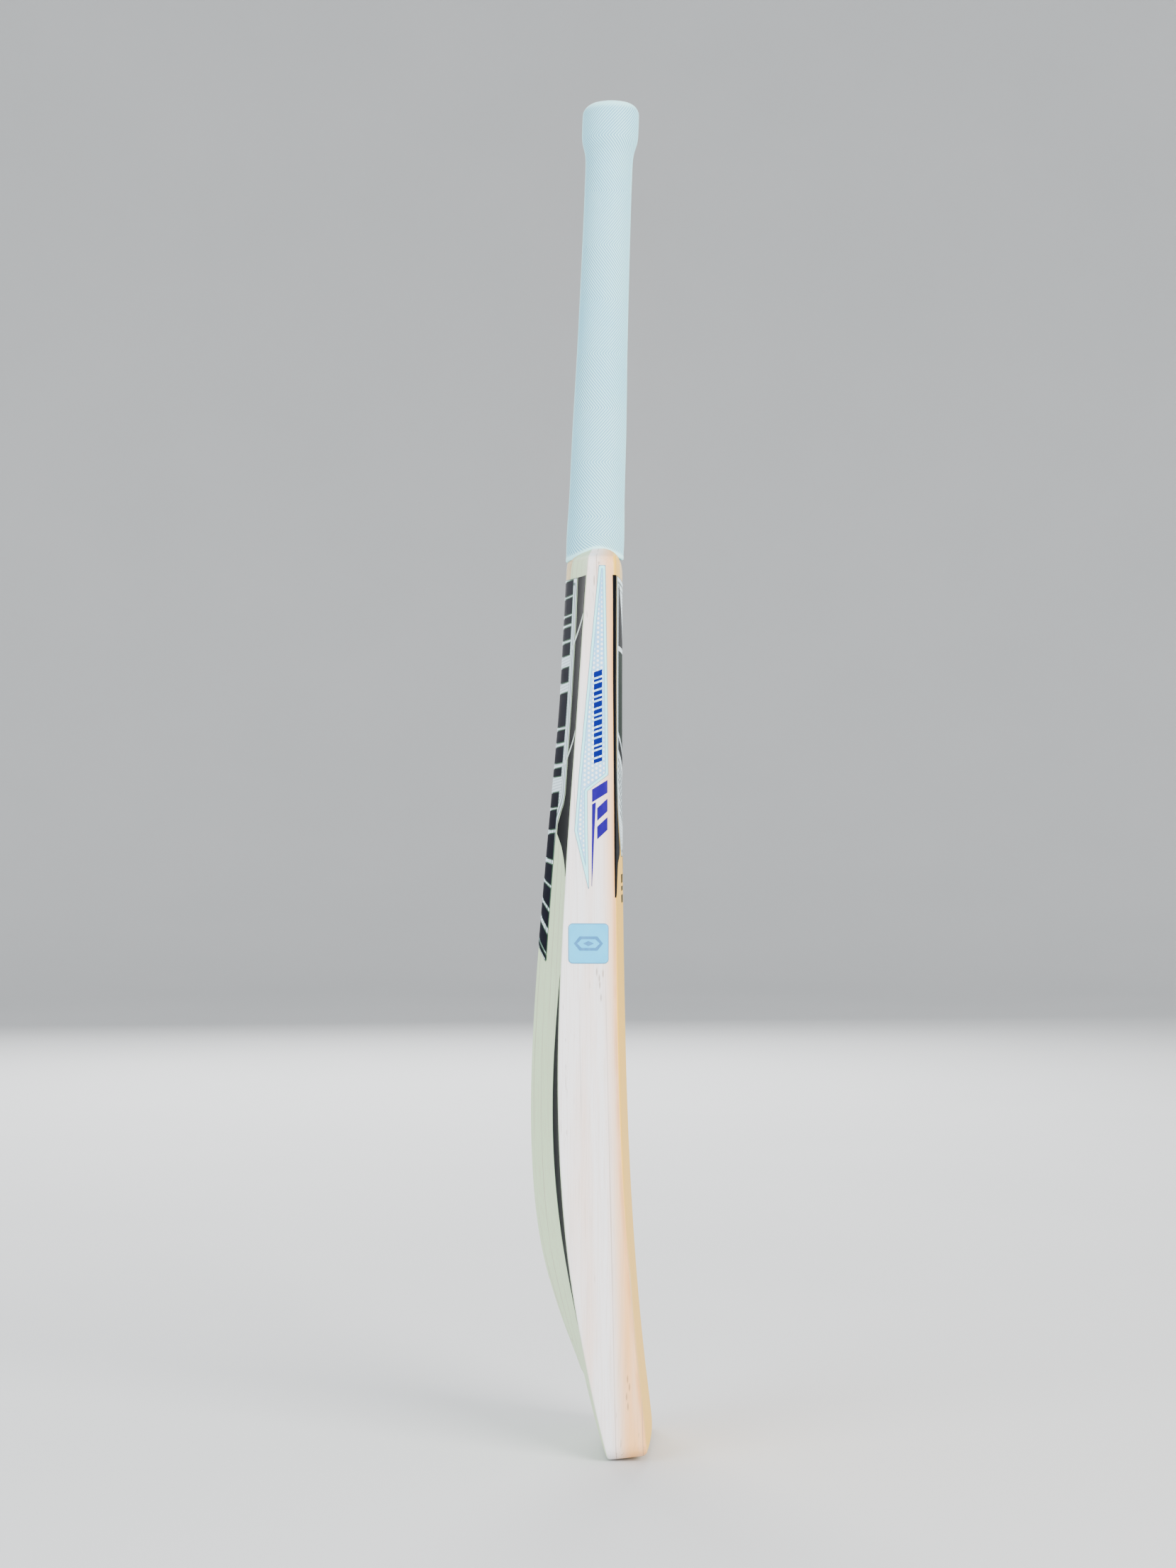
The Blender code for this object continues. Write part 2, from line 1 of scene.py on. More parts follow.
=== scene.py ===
"""The looks of a cricket bat: a willow blade with printed stickers, and a handle under a ribbed rubber grip.

Shapes are worked out in millimetres and made in metres. The bat stands on its toe, its hitting face looks
along -Y and its spine along +Y. The blade's and the handle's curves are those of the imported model.
"""

import bisect
import math

import bmesh
import bpy
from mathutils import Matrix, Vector


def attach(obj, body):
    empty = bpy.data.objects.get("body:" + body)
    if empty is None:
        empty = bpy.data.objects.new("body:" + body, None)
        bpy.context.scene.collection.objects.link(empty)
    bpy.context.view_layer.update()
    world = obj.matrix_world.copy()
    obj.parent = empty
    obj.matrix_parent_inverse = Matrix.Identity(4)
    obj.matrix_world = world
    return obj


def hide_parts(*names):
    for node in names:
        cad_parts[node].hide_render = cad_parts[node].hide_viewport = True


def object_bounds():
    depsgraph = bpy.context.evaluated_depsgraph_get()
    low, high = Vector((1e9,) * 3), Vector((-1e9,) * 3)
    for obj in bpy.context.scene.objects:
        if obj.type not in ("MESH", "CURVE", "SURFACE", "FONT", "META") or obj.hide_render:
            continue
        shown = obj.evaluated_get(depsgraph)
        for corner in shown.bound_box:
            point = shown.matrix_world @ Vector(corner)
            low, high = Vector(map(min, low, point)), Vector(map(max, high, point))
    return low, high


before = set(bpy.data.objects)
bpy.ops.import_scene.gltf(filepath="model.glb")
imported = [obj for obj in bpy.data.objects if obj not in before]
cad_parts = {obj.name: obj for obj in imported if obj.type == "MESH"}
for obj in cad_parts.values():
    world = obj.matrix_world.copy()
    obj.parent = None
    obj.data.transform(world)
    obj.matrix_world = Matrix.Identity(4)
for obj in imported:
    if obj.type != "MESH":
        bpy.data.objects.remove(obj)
cad_low, cad_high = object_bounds()

MM = 0.001
FRONT, BACK = Vector((0, -1, 0)), Vector((0, 1, 0))

# Blade, as (height, value) pairs that a smooth curve runs through
BLADE_HALF_WIDTH = 53.4
FACE_LINE = ((0, -15.6), (60, -8.9), (110, -4.5), (170, -0.8), (240, 1.8), (340, 3.7), (450, 4.6), (570, 4.3))
EDGE_FRONT = ((0, -13.4), (50, -8.4), (115, -2.2), (180, 2.4), (250, 5.0), (345, 6.3), (470, 7.5),
              (558, 8.0), (570, 9.5))
EDGE_BACK = ((0, 9.6), (50, 21.6), (115, 33.2), (180, 39.2), (250, 40.6), (345, 37.0), (470, 28.4),
             (558, 22.4), (570, 21.0))
SPINE_LINE = ((46, 29.4), (51, 31.4), (84, 43.9), (120, 54.3), (160, 60.0), (215, 62.0), (285, 59.2),
              (377, 51.7), (467, 43.8), (520, 40.9), (558, 39.0), (570, 38.4))
TOE_BACK_LINE = ((0, 15.6), (20, 21.6), (46, 28.5))
SPINE_FOOT = 48.0
CROWN = 1.5
FACE_CORNER = 3.2
EDGE_BULGE = 0.5
BACK_CORNER = 2.2
RIDGE_RADIUS = 6.0
FLANK_POWER = ((0, 0.8), (40, 0.85), (56, 1.2), (110, 1.5), (300, 1.45), (560, 1.15))

TOE_TILT = 0.12
TOE_TILT_HEIGHT = 60.0
TOE_CORNER = 10.0
TOE_FACE_RADIUS = 5.0
TOE_BACK_RADIUS = 1.8

SHOULDER_START = 553.0
SHOULDER_RADIUS = 10.0
SHOULDER_BREAK = 561.0
SHOULDER_TOP = 568.5
SHOULDER_TOP_HALF_WIDTH = 16.0
SHOULDER_CROWN = 569.5

SPLICE_TIP = 425.0
SPLICE_TIP_HALF_WIDTH = 1.5
SPLICE_SLOPE = 0.0996
SPLICE_GAP = 0.1
SPLICE_TOOL_TOP = 600.0
SPLICE_TOOL_DEPTH = (-40, 90)

# Handle
AXIS_Y = 20.75
AXIS_HEIGHT = 576.0
AXIS_SLOPE = -0.0365
OVAL = 0.94
BARE_HALF_DEPTH = ((555, 15.5), (576, 15.2), (603, 14.6), (644, 14.1), (698, 13.1), (766, 12.2), (851, 12.0))
GRIP_HALF_DEPTH = ((555, 18.0), (576, 18.4), (603, 17.65), (644, 17.2), (698, 16.0), (766, 15.15),
                   (807, 14.95), (820, 15.4), (829, 17.6), (837, 17.95), (846, 17.9))
GRIP_WALL_ROOM = 1.3     # binding and gaps between the bare handle and the grip's bore
GRIP_STRAIGHT = 577.0    # above this height the grip's rows are level
GRIP_RIM = 560.0
GRIP_ARCH = 8.0
GRIP_ARCH_Y = 18.5
GRIP_ARCH_WIDTH = 13.5
GRIP_TOP = 853.4
GRIP_TOP_DROP = 8.0
GRIP_TOP_INSET = 9.4
GRIP_HOLE = 7.5
GRIP_LIP = 2.3
BORE_STEP = 700.0        # a height at which the bore has a loop of its own
SEAT_GAP = 0.15          # between the grip and its seat in the blade
SEAT_MIDDLE = 566.0
SEAT_COUNT = 96

# The grip's ribs run diagonally and turn the other way in each band
RIB_COUNT = 56
RIB_SAMPLES = 4
RIB_DEPTH = 0.3
RIB_TWIST = 0.0504       # radians for each millimetre of height
COLLAR_SEAM = 830.0
BAND_HEIGHT = 34.5
SEAM_DEPTH = 0.12
SEAM_WIDTH = 0.5
ROW_HEIGHT = 1.5
RIB_FADE_TOP = 2.5       # the ribs fade out this far below the grip's top
RIB_FADE = 3.0
# Loops between the arched rim and the level ones, as (share of the way, rib depth's share, swelling)
RIM_LOOPS = ((0, 0, -0.25), (0.03, 0, 0.1), (0.1, 0, 0.2), (0.16, 0, 0.1), (0.2, 0.6, 0),
             (0.3, 1, 0), (0.42, 1, 0), (0.55, 1, 0), (0.7, 1, 0), (0.85, 1, 0))
RIM_TWIST_HEIGHT = 13.0


def curve(points, at):
    """Value at a height of the smooth curve through (height, value) points; level beyond its ends."""
    heights = [point[0] for point in points]
    at = min(max(at, heights[0]), heights[-1])
    i = min(max(bisect.bisect_right(heights, at) - 1, 0), len(points) - 2)

    def slope(k):
        low, high = points[max(k - 1, 0)], points[min(k + 1, len(points) - 1)]
        return (high[1] - low[1]) / (high[0] - low[0])

    (z0, y0), (z1, y1) = points[i], points[i + 1]
    span = z1 - z0
    t = (at - z0) / span
    rise = y0 * (2 * t**3 - 3 * t**2 + 1) + y1 * (3 * t**2 - 2 * t**3)
    return rise + span * (slope(i) * (t**3 - 2 * t**2 + t) + slope(i + 1) * (t**3 - t**2))


def smooth_step(t):
    t = min(max(t, 0.0), 1.0)
    return t * t * (3 - 2 * t)


def steps(low, high, count):
    return [low + (high - low) * i / count for i in range(count + 1)]


# Blade's surface ---------------------------------------------------------------------------------


def corner_inset(radius, above):
    """How far a rounded bottom corner has drawn in at this height above the bottom."""
    if above >= radius:
        return 0.0
    return radius - math.sqrt(radius**2 - (radius - above) ** 2)


def half_width(z):
    if z < TOE_CORNER:
        return BLADE_HALF_WIDTH - corner_inset(TOE_CORNER, z)
    if z <= SHOULDER_START:
        return BLADE_HALF_WIDTH
    if z <= SHOULDER_BREAK:
        return BLADE_HALF_WIDTH - corner_inset(SHOULDER_RADIUS, SHOULDER_START + SHOULDER_RADIUS - z)
    start = half_width(SHOULDER_BREAK)
    share = (z - SHOULDER_BREAK) / (SHOULDER_TOP - SHOULDER_BREAK)
    return start + (SHOULDER_TOP_HALF_WIDTH - start) * share


def shoulder_inset(z):
    """How far the face and the back have drawn in where the shoulder is arched from face to back."""
    if z <= SHOULDER_START:
        return 0.0
    half = (curve(SPINE_LINE, z) - curve(FACE_LINE, z)) / 2
    share = (z - SHOULDER_START) / (SHOULDER_CROWN - SHOULDER_START)
    return half * (1 - math.sqrt(1 - share**4))


def face_middle(z):
    return curve(FACE_LINE, z) + corner_inset(TOE_FACE_RADIUS, z) + shoulder_inset(z)


def spine_middle(z):
    line = SPINE_LINE if z > SPINE_FOOT else TOE_BACK_LINE
    return curve(line, z) - corner_inset(TOE_BACK_RADIUS, z) - shoulder_inset(z)


def edge_front(z):
    return max(curve(EDGE_FRONT, z) + corner_inset(TOE_FACE_RADIUS, z), face_middle(z) + CROWN + 0.4)


def edge_back(z):
    return min(curve(EDGE_BACK, z) - corner_inset(TOE_BACK_RADIUS, z), spine_middle(z) - 1.5)


def face_y(x, z):
    return face_middle(z) + CROWN * (x / half_width(z)) ** 2


def back_y(x, z):
    """The back from its round ridge down the hollow flank to the edge's corner."""
    foot = edge_back(z) + BACK_CORNER / 2
    reach = math.hypot(half_width(z) - BACK_CORNER, RIDGE_RADIUS) - RIDGE_RADIUS
    share = 1 - (math.hypot(x, RIDGE_RADIUS) - RIDGE_RADIUS) / reach
    return foot + (spine_middle(z) - foot) * max(share, 0.0) ** curve(FLANK_POWER, z)


def tilt(z):
    return TOE_TILT * (1 - smooth_step(z / TOE_TILT_HEIGHT))


def blade_half_section(z):
    """(x, y) points from the middle of the face round the edge to the middle of the back."""
    width = half_width(z)
    front, back = edge_front(z), edge_back(z)
    start_x = width - FACE_CORNER
    start_y = face_y(start_x, z)
    side_x = width - EDGE_BULGE
    points = [(start_x * share, face_y(start_x * share, z)) for share in steps(0, 1, 14)[:-1]]
    for angle in steps(0, math.pi / 2, 8):
        x = start_x + (side_x - start_x) * math.sin(angle)
        points.append((x, front - (front - start_y) * math.cos(angle)))
    for share in steps(0, 1, 16)[1:]:
        points.append((width - EDGE_BULGE * (2 * share - 1) ** 2, front + (back - front) * share))
    flank_x = width - BACK_CORNER
    for angle in steps(0, math.pi / 2, 4)[1:-1]:
        x = flank_x + (side_x - flank_x) * math.cos(angle)
        points.append((x, back + BACK_CORNER / 2 * math.sin(angle)))
    for share in steps(1, 0, 30):
        x = flank_x * share**1.5
        points.append((x, back_y(x, z)))
    return points


def blade_section(z):
    half = blade_half_section(z)
    whole = half + [(-x, y) for x, y in reversed(half[1:-1])]
    return [Vector((x, y, z - tilt(z) * y)) for x, y in whole]


def blade_heights():
    toe = [0, 0.1, 0.35, 0.8, 1.3, 1.8, 2.5, 3.3, 4.2, 5, 6.2, 8] + steps(10, 44, 14) + [45.5, 46.8]
    foot = [48.6, 49.6] + steps(51, 80, 16)[1:]
    body = steps(80, 545, 130)[1:]
    shoulder = steps(547, SHOULDER_TOP, 22)
    return toe + foot + body + shoulder


# Meshes ------------------------------------------------------------------------------------------


def mesh_object(name, mesh_data, material, sharp=35):
    """An object from a bmesh in millimetres."""
    bmesh.ops.scale(mesh_data, vec=(MM, MM, MM), verts=mesh_data.verts)
    bmesh.ops.recalc_face_normals(mesh_data, faces=mesh_data.faces)
    if mesh_data.calc_volume(signed=True) < 0:
        bmesh.ops.reverse_faces(mesh_data, faces=mesh_data.faces)
    mesh = bpy.data.meshes.new(name)
    mesh_data.to_mesh(mesh)
    mesh_data.free()
    if material:
        mesh.materials.append(material)
    mesh.shade_smooth()
    mesh.set_sharp_from_angle(angle=math.radians(sharp))
    thing = bpy.data.objects.new(name, mesh)
    bpy.context.collection.objects.link(thing)
    return thing


def show(thing, slot, *replaced):
    """The piece rides on the bat and stands for CAD nodes, which it hides; the slot argument is not used."""
    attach(thing, "root")
    if replaced:
        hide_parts(*replaced)
    return thing


def loft(name, loops, material=None, ring=False, sharp=35):
    """Skin loops of equally many points. A ring joins its last loop to its first; others get end caps."""
    mesh_data = bmesh.new()
    rows = [[mesh_data.verts.new(point) for point in loop] for loop in loops]
    pairs = list(zip(rows, rows[1:]))
    if ring:
        pairs.append((rows[-1], rows[0]))
    for low, high in pairs:
        for i in range(len(low)):
            j = (i + 1) % len(low)
            mesh_data.faces.new((low[i], low[j], high[j], high[i]))
    if not ring:
        mesh_data.faces.new(list(reversed(rows[0])))
        mesh_data.faces.new(rows[-1])
    return mesh_object(name, mesh_data, material, sharp)


def cut(thing, tool):
    """Subtract a tool from a piece and throw the tool away."""
    modifier = thing.modifiers.new("cut", "BOOLEAN")
    modifier.operation = "DIFFERENCE"
    modifier.solver = "EXACT"
    modifier.object = tool
    settled = bpy.data.meshes.new_from_object(thing.evaluated_get(bpy.context.evaluated_depsgraph_get()))
    thing.modifiers.clear()
    triangles = bmesh.new()
    triangles.from_mesh(settled)
    bmesh.ops.triangulate(triangles, faces=[face for face in triangles.faces if len(face.verts) > 4])
    triangles.to_mesh(settled)
    triangles.free()
    thing.data = settled
    bpy.data.objects.remove(tool)


def lifted(surface, u, v, outward, distance):
    """A point that stands off a surface along its normal."""
    step = 0.4
    point = surface(u, v)
    normal = (surface(u + step, v) - point).cross(surface(u, v + step) - point).normalized()
    if normal.dot(outward) < 0:
        normal.negate()
    return point + normal * distance


def sheet(name, surface, outward, rows, low, high, material, rim=False):
    """A thin film on a surface: rows of (u, v) places, all with the same number of places.

    With rim, each point keeps its distance from the film's border in millimetres, for the printed lines.
    """
    mesh_data = bmesh.new()
    rim_layer = mesh_data.verts.layers.float.new("rim") if rim else None
    last_row, last_column = len(rows) - 1, len(rows[0]) - 1
    border = [(0, j) for j in range(last_column)] + [(i, last_column) for i in range(last_row)]
    border += [(last_row, j) for j in range(last_column, 0, -1)] + [(i, 0) for i in range(last_row, 0, -1)]
    outline = [rows[i][j] for i, j in border]
    layers = []
    for distance in (low, high):
        grid = []
        for row in rows:
            verts = []
            for u, v in row:
                vert = mesh_data.verts.new(lifted(surface, u, v, outward, distance))
                if rim:
                    vert[rim_layer] = border_distance((u, v), outline)
                verts.append(vert)
            grid.append(verts)
        layers.append(grid)
    for grid in layers:
        for i in range(last_row):
            for j in range(last_column):
                mesh_data.faces.new((grid[i][j], grid[i][j + 1], grid[i + 1][j + 1], grid[i + 1][j]))
    inner, outer = layers
    for (i, j), (k, m) in zip(border, border[1:] + border[:1]):
        mesh_data.faces.new((inner[i][j], inner[k][m], outer[k][m], outer[i][j]))
    return mesh_object(name, mesh_data, material)


def border_distance(place, outline):
    """Distance of a place from the nearest stretch of a closed outline."""
    px, py = place
    nearest = 1e9
    for (ax, ay), (bx, by) in zip(outline, outline[1:] + outline[:1]):
        dx, dy = bx - ax, by - ay
        length = dx * dx + dy * dy
        t = 0.0 if length == 0 else min(max(((px - ax) * dx + (py - ay) * dy) / length, 0.0), 1.0)
        nearest = min(nearest, math.hypot(px - ax - t * dx, py - ay - t * dy))
    return nearest


def profile_rows(profile, step, columns):
    """Rows for an outline given as (height, one side, other side), with fine steps between its corners."""
    rows = []
    for (z0, a0, b0), (z1, a1, b1) in zip(profile, profile[1:]):
        count = max(1, round(abs(z1 - z0) / step))
        for i in range(count):
            t = i / count
            a, b = a0 + (a1 - a0) * t, b0 + (b1 - b0) * t
            rows.append([(u, z0 + (z1 - z0) * t) for u in steps(a, b, columns)])
    z, a, b = profile[-1]
    rows.append([(u, z) for u in steps(a, b, columns)])
    return rows


def quad_rows(corners, step=1.0):
    """Rows for a four-cornered print: corners go round it, and its first and last sides run across."""
    (a, b, c, d) = corners
    across = max(math.dist(a, b), math.dist(d, c))
    along = max(math.dist(a, d), math.dist(b, c))
    columns, count = max(1, round(across / step)), max(1, round(along / step))
    rows = []
    for t in steps(0, 1, count):
        left = (a[0] + (d[0] - a[0]) * t, a[1] + (d[1] - a[1]) * t)
        right = (b[0] + (c[0] - b[0]) * t, b[1] + (c[1] - b[1]) * t)
        rows.append([(left[0] + (right[0] - left[0]) * s, left[1] + (right[1] - left[1]) * s)
                     for s in steps(0, 1, columns)])
    return rows


def joined(name, pieces):
    """One object from several that share a material."""
    mesh_data = bmesh.new()
    for piece in pieces:
        mesh_data.from_mesh(piece.data)
    mesh = pieces[0].data.copy()
    mesh_data.to_mesh(mesh)
    mesh_data.free()
    for piece in pieces:
        bpy.data.objects.remove(piece)
    thing = bpy.data.objects.new(name, mesh)
    bpy.context.collection.objects.link(thing)
    return thing


# Materials, whose places are in metres -----------------------------------------------------------

# the face_side and back_side attributes also place the willow's painted warm light and painted cool shade
SIDES = ("face_side", "back_side", "front_corner")   # the blade's attributes that its colours follow
BADGE_MIDDLE = (22.6, 320.6)


def srgb(red, green, blue):
    """Linear colour from sRGB levels of 0 to 255."""
    def linear(level):
        share = level / 255
        return share / 12.92 if share <= 0.04045 else ((share + 0.055) / 1.055) ** 2.4
    return (linear(red), linear(green), linear(blue), 1.0)


class Material:
    """A node material, with short calls for the nodes that it is made of."""

    def __init__(self, name, roughness=0.5, **constants):
        self.made = bpy.data.materials.new(name)
        self.made.use_nodes = True
        self.tree = self.made.node_tree
        self.shader = self.tree.nodes["Principled BSDF"]
        self.shader.inputs["Roughness"].default_value = roughness
        for socket, value in constants.items():
            self.shader.inputs[socket.replace("_", " ")].default_value = value
        self.place = self.node("ShaderNodeTexCoord").outputs["Object"]

    def node(self, kind, values=None, **settings):
        node = self.tree.nodes.new(kind)
        for key, value in settings.items():
            setattr(node, key, value)
        for key, value in (values or {}).items():
            if isinstance(value, bpy.types.NodeSocket):
                self.tree.links.new(value, node.inputs[key])
            else:
                node.inputs[key].default_value = value
        return node

    def maths(self, operation, a, b=0.0, clamp=False):
        return self.node("ShaderNodeMath", {0: a, 1: b}, operation=operation, use_clamp=clamp).outputs[0]

    def away(self, value, middle):
        """How far a value is from a middle one."""
        return self.maths("ABSOLUTE", self.maths("SUBTRACT", value, middle))

    def repeat(self, value, pitch):
        """0 to 1, over and over, once in each pitch."""
        return self.maths("FRACT", self.maths("DIVIDE", value, pitch))

    def length(self, x, y):
        place = self.vector(x, y, 0.0)
        return self.node("ShaderNodeVectorMath", {0: place}, operation="LENGTH").outputs["Value"]

    def mix(self, share, low, high):
        return self.node("ShaderNodeMix", {0: share, 6: low, 7: high}, data_type="RGBA").outputs[2]

    def between(self, value, low, high):
        """0 at low, 1 at high, smooth between."""
        values = {"Value": value, "From Min": low, "From Max": high}
        return self.node("ShaderNodeMapRange", values, interpolation_type="SMOOTHSTEP").outputs[0]

    def axes(self, place=None):
        return self.node("ShaderNodeSeparateXYZ", {0: place or self.place}).outputs

    def vector(self, x, y, z):
        return self.node("ShaderNodeCombineXYZ", {0: x, 1: y, 2: z}).outputs[0]

    def stretched(self, scale):
        """Places scaled by a different number along each axis."""
        return self.node("ShaderNodeMapping", {"Vector": self.place, "Scale": scale}).outputs[0]

    def noise(self, place, scale=1.0, detail=3.0, roughness=0.5):
        values = {"Vector": place, "Scale": scale, "Detail": detail, "Roughness": roughness}
        return self.node("ShaderNodeTexNoise", values).outputs[0]

    def attribute(self, name):
        return self.node("ShaderNodeAttribute", attribute_name=name).outputs["Fac"]

    def bump(self, height, strength, distance=0.0002):
        values = {"Height": height, "Strength": strength, "Distance": distance}
        made = self.node("ShaderNodeBump", values).outputs[0]
        self.tree.links.new(made, self.shader.inputs["Normal"])

    def set(self, socket, value):
        self.tree.links.new(value, self.shader.inputs[socket])


# Short dark flecks in the edges, as (depth, height), and their half sizes
PITH_FLECKS = ((-1.6, 51.0), (-2.8, 46.0), (-1.0, 40.0), (-1.9, 34.0), (17.5, 303.0), (13.6, 302.0),
               (15.6, 295.0), (14.8, 287.0), (15.9, 299.0), (2.8, 246.0), (1.6, 211.0), (0.8, 190.0))
FLECK_DEPTH = 0.7
FLECK_HEIGHT = 3.5
EDGE_RING_PITCH = 16.9   # growth rings, as cut by the edges and by the face and back
FACE_RING_PITCH = 9.8


def willow_colour(material, leaning, face, back, corner):
    """White edges that turn peach beside the face, a yellow face with an orange corner, and a greenish back; the
    peach and the yellow are painted warm light from the face's side, and the green is painted cool shade.
    """
    # painted warm light: the white edges turn peach towards the face
    painted_warm_light = material.between(leaning, 0.0095, -0.004)
    edge = material.mix(painted_warm_light, srgb(242, 238, 240), srgb(252, 188, 118))
    patch = material.noise(material.stretched((60, 60, 5)), 1.0, 3.0)
    edge = material.mix(material.between(patch, 0.45, 0.75), edge, srgb(244, 220, 208))
    # painted warm light makes the face yellow, and painted cool shade makes the back greenish
    colour = material.mix(face, edge, srgb(240, 188, 58))
    colour = material.mix(back, colour, srgb(204, 226, 182))
    broken = material.between(material.noise(material.stretched((5, 5, 22))), 0.3, 0.6)
    line = material.maths("MULTIPLY", material.maths("MULTIPLY", corner, broken), 0.75)
    return material.mix(line, colour, srgb(214, 140, 60))


def growth_rings(material, x, leaning, side):
    """Thin broken lines, one for each ring: across the edges' depth, and across the face's and back's width."""
    wander = material.maths("MULTIPLY", material.noise(material.stretched((30, 30, 4)), 1.0, 2.0), 0.004)
    depth = material.maths("ADD", leaning, material.maths("MULTIPLY", wander, 0.35))
    on_edges = material.between(material.away(material.repeat(depth, EDGE_RING_PITCH * MM), 0.36), 0.03, 0.0)
    across = material.maths("ADD", x, wander)
    on_face = material.between(material.away(material.repeat(across, FACE_RING_PITCH * MM), 0.5), 0.07, 0.0)
    rings = material.node("ShaderNodeMix", {0: side, 2: on_face, 3: on_edges}).outputs[0]
    broken = material.between(material.noise(material.stretched((90, 90, 7))), 0.35, 0.6)
    return material.maths("MULTIPLY", rings, broken)


def willow_flecks(material, y, z, side):
    """Scattered fine flecks, and the larger ones of the edges."""
    fleck = material.between(material.noise(material.stretched((650, 650, 70)), 1.0, 1.0), 0.66, 0.72)
    where = material.between(material.noise(material.stretched((45, 45, 16))), 0.6, 0.7)
    fleck = material.maths("MULTIPLY", fleck, where)
    for depth, height in PITH_FLECKS:
        across = material.maths("SUBTRACT", y, depth * MM)
        along = material.maths("SUBTRACT", z, height * MM)
        spot = material.length(material.maths("MULTIPLY", across, 1 / (FLECK_DEPTH * MM)),
                               material.maths("MULTIPLY", along, 1 / (FLECK_HEIGHT * MM)))
        spot = material.maths("MULTIPLY", material.between(spot, 1.0, 0.3), side)
        fleck = material.maths("MAXIMUM", fleck, spot)
    return fleck


def willow_material():
    """Pale straight-grained willow: fibres and thin growth lines along the blade, flecks, painted warm light on
    the face and painted cool shade on the back.
    """
    material = Material("willow", roughness=0.5)
    x, y, z = material.axes()
    face, back, corner = (material.attribute(name) for name in SIDES)
    side = material.maths("SUBTRACT", 1.0, material.maths("ADD", face, back, clamp=True))
    leaning = material.maths("SUBTRACT", y, material.maths("MULTIPLY", z, 0.022))

    colour = willow_colour(material, leaning, face, back, corner)
    fibres = material.noise(material.stretched((1400, 1400, 26)), 1.0, 4.0, 0.65)
    shade = material.maths("MULTIPLY", material.between(fibres, 0.46, 0.74), 0.32)
    colour = material.mix(shade, colour, srgb(190, 160, 130))
    rings = growth_rings(material, x, leaning, side)
    colour = material.mix(material.maths("MULTIPLY", rings, 0.6), colour, srgb(150, 122, 112))
    fleck = willow_flecks(material, y, z, side)
    colour = material.mix(material.maths("MULTIPLY", fleck, 0.6), colour, srgb(120, 92, 70))

    material.set("Base Color", colour)
    material.set("Roughness", material.maths("ADD", 0.42, material.maths("MULTIPLY", fibres, 0.2)))
    material.bump(material.maths("SUBTRACT", fibres, material.maths("MULTIPLY", rings, 0.5)), 0.25, 0.00012)
    return material.made


def cane_material():
    """Tan cane: long fibres down its sides and dark pores in its sawn ends."""
    material = Material("cane", roughness=0.55)
    fibres = material.noise(material.stretched((2600, 2600, 40)), 1.0, 4.0, 0.6)
    colour = material.mix(material.between(fibres, 0.35, 0.7), srgb(226, 204, 158), srgb(198, 166, 116))
    values = {"Vector": material.stretched((1, 1, 0.02)), "Scale": 1500.0}
    pores = material.node("ShaderNodeTexVoronoi", values).outputs["Distance"]
    colour = material.mix(material.between(pores, 0.28, 0.1), colour, srgb(120, 82, 46))
    material.set("Base Color", colour)
    material.bump(pores, 0.4, 0.0002)
    return material.made


def rubber_material():
    """Black sheet rubber with a faint bloom."""
    material = Material("spring_rubber", roughness=0.75)
    bloom = material.noise(material.place, 900.0, 3.0)
    material.set("Base Color", material.mix(bloom, srgb(24, 24, 25), srgb(52, 51, 50)))
    material.bump(bloom, 0.3)
    return material.made


def twine_material():
    """Waxed thread, wound at a steep pitch, with painted shade in the grooves between its turns."""
    material = Material("twine", roughness=0.7)
    z = material.axes()[2]
    turn = material.maths("ABSOLUTE", material.maths("SINE", material.maths("MULTIPLY", z, math.pi / 0.0011)))
    # painted shade: the thread turns dark in the grooves between its turns, where the bump is lowest
    material.set("Base Color", material.mix(turn, srgb(120, 100, 74), srgb(214, 200, 170)))
    material.bump(turn, 0.6, 0.0003)
    return material.made


def grip_material():
    """White rubber with a cool cast, and painted shade between the ribs and in the hole at the top."""
    material = Material("grip_rubber", roughness=0.55, Specular_IOR_Level=0.25)
    rib = material.attribute("rib")
    stain = material.between(material.noise(material.stretched((40, 40, 16)), 1.0, 4.0, 0.6), 0.35, 0.75)
    top = material.mix(stain, srgb(192, 252, 255), srgb(176, 244, 254))
    # painted shade: a darker blue between the ribs, and on the lip and in the bore, where the rib value is low
    colour = material.mix(rib, srgb(84, 150, 186), top)
    speck = material.between(material.noise(material.place, 2600.0, 2.0), 0.68, 0.74)
    colour = material.mix(material.maths("MULTIPLY", speck, 0.35), colour, srgb(150, 170, 180))
    material.set("Base Color", colour)
    material.bump(material.noise(material.place, 3500.0, 3.0), 0.15, 0.0001)
    return material.made


def film_bump(material, extra=None):
    """The faint unevenness of a thin film stuck on wood."""
    height = material.noise(material.stretched((180, 180, 60)), 1.0, 3.0)
    if extra is not None:
        height = material.maths("ADD", height, extra)
    material.bump(height, 0.12, 0.0002)


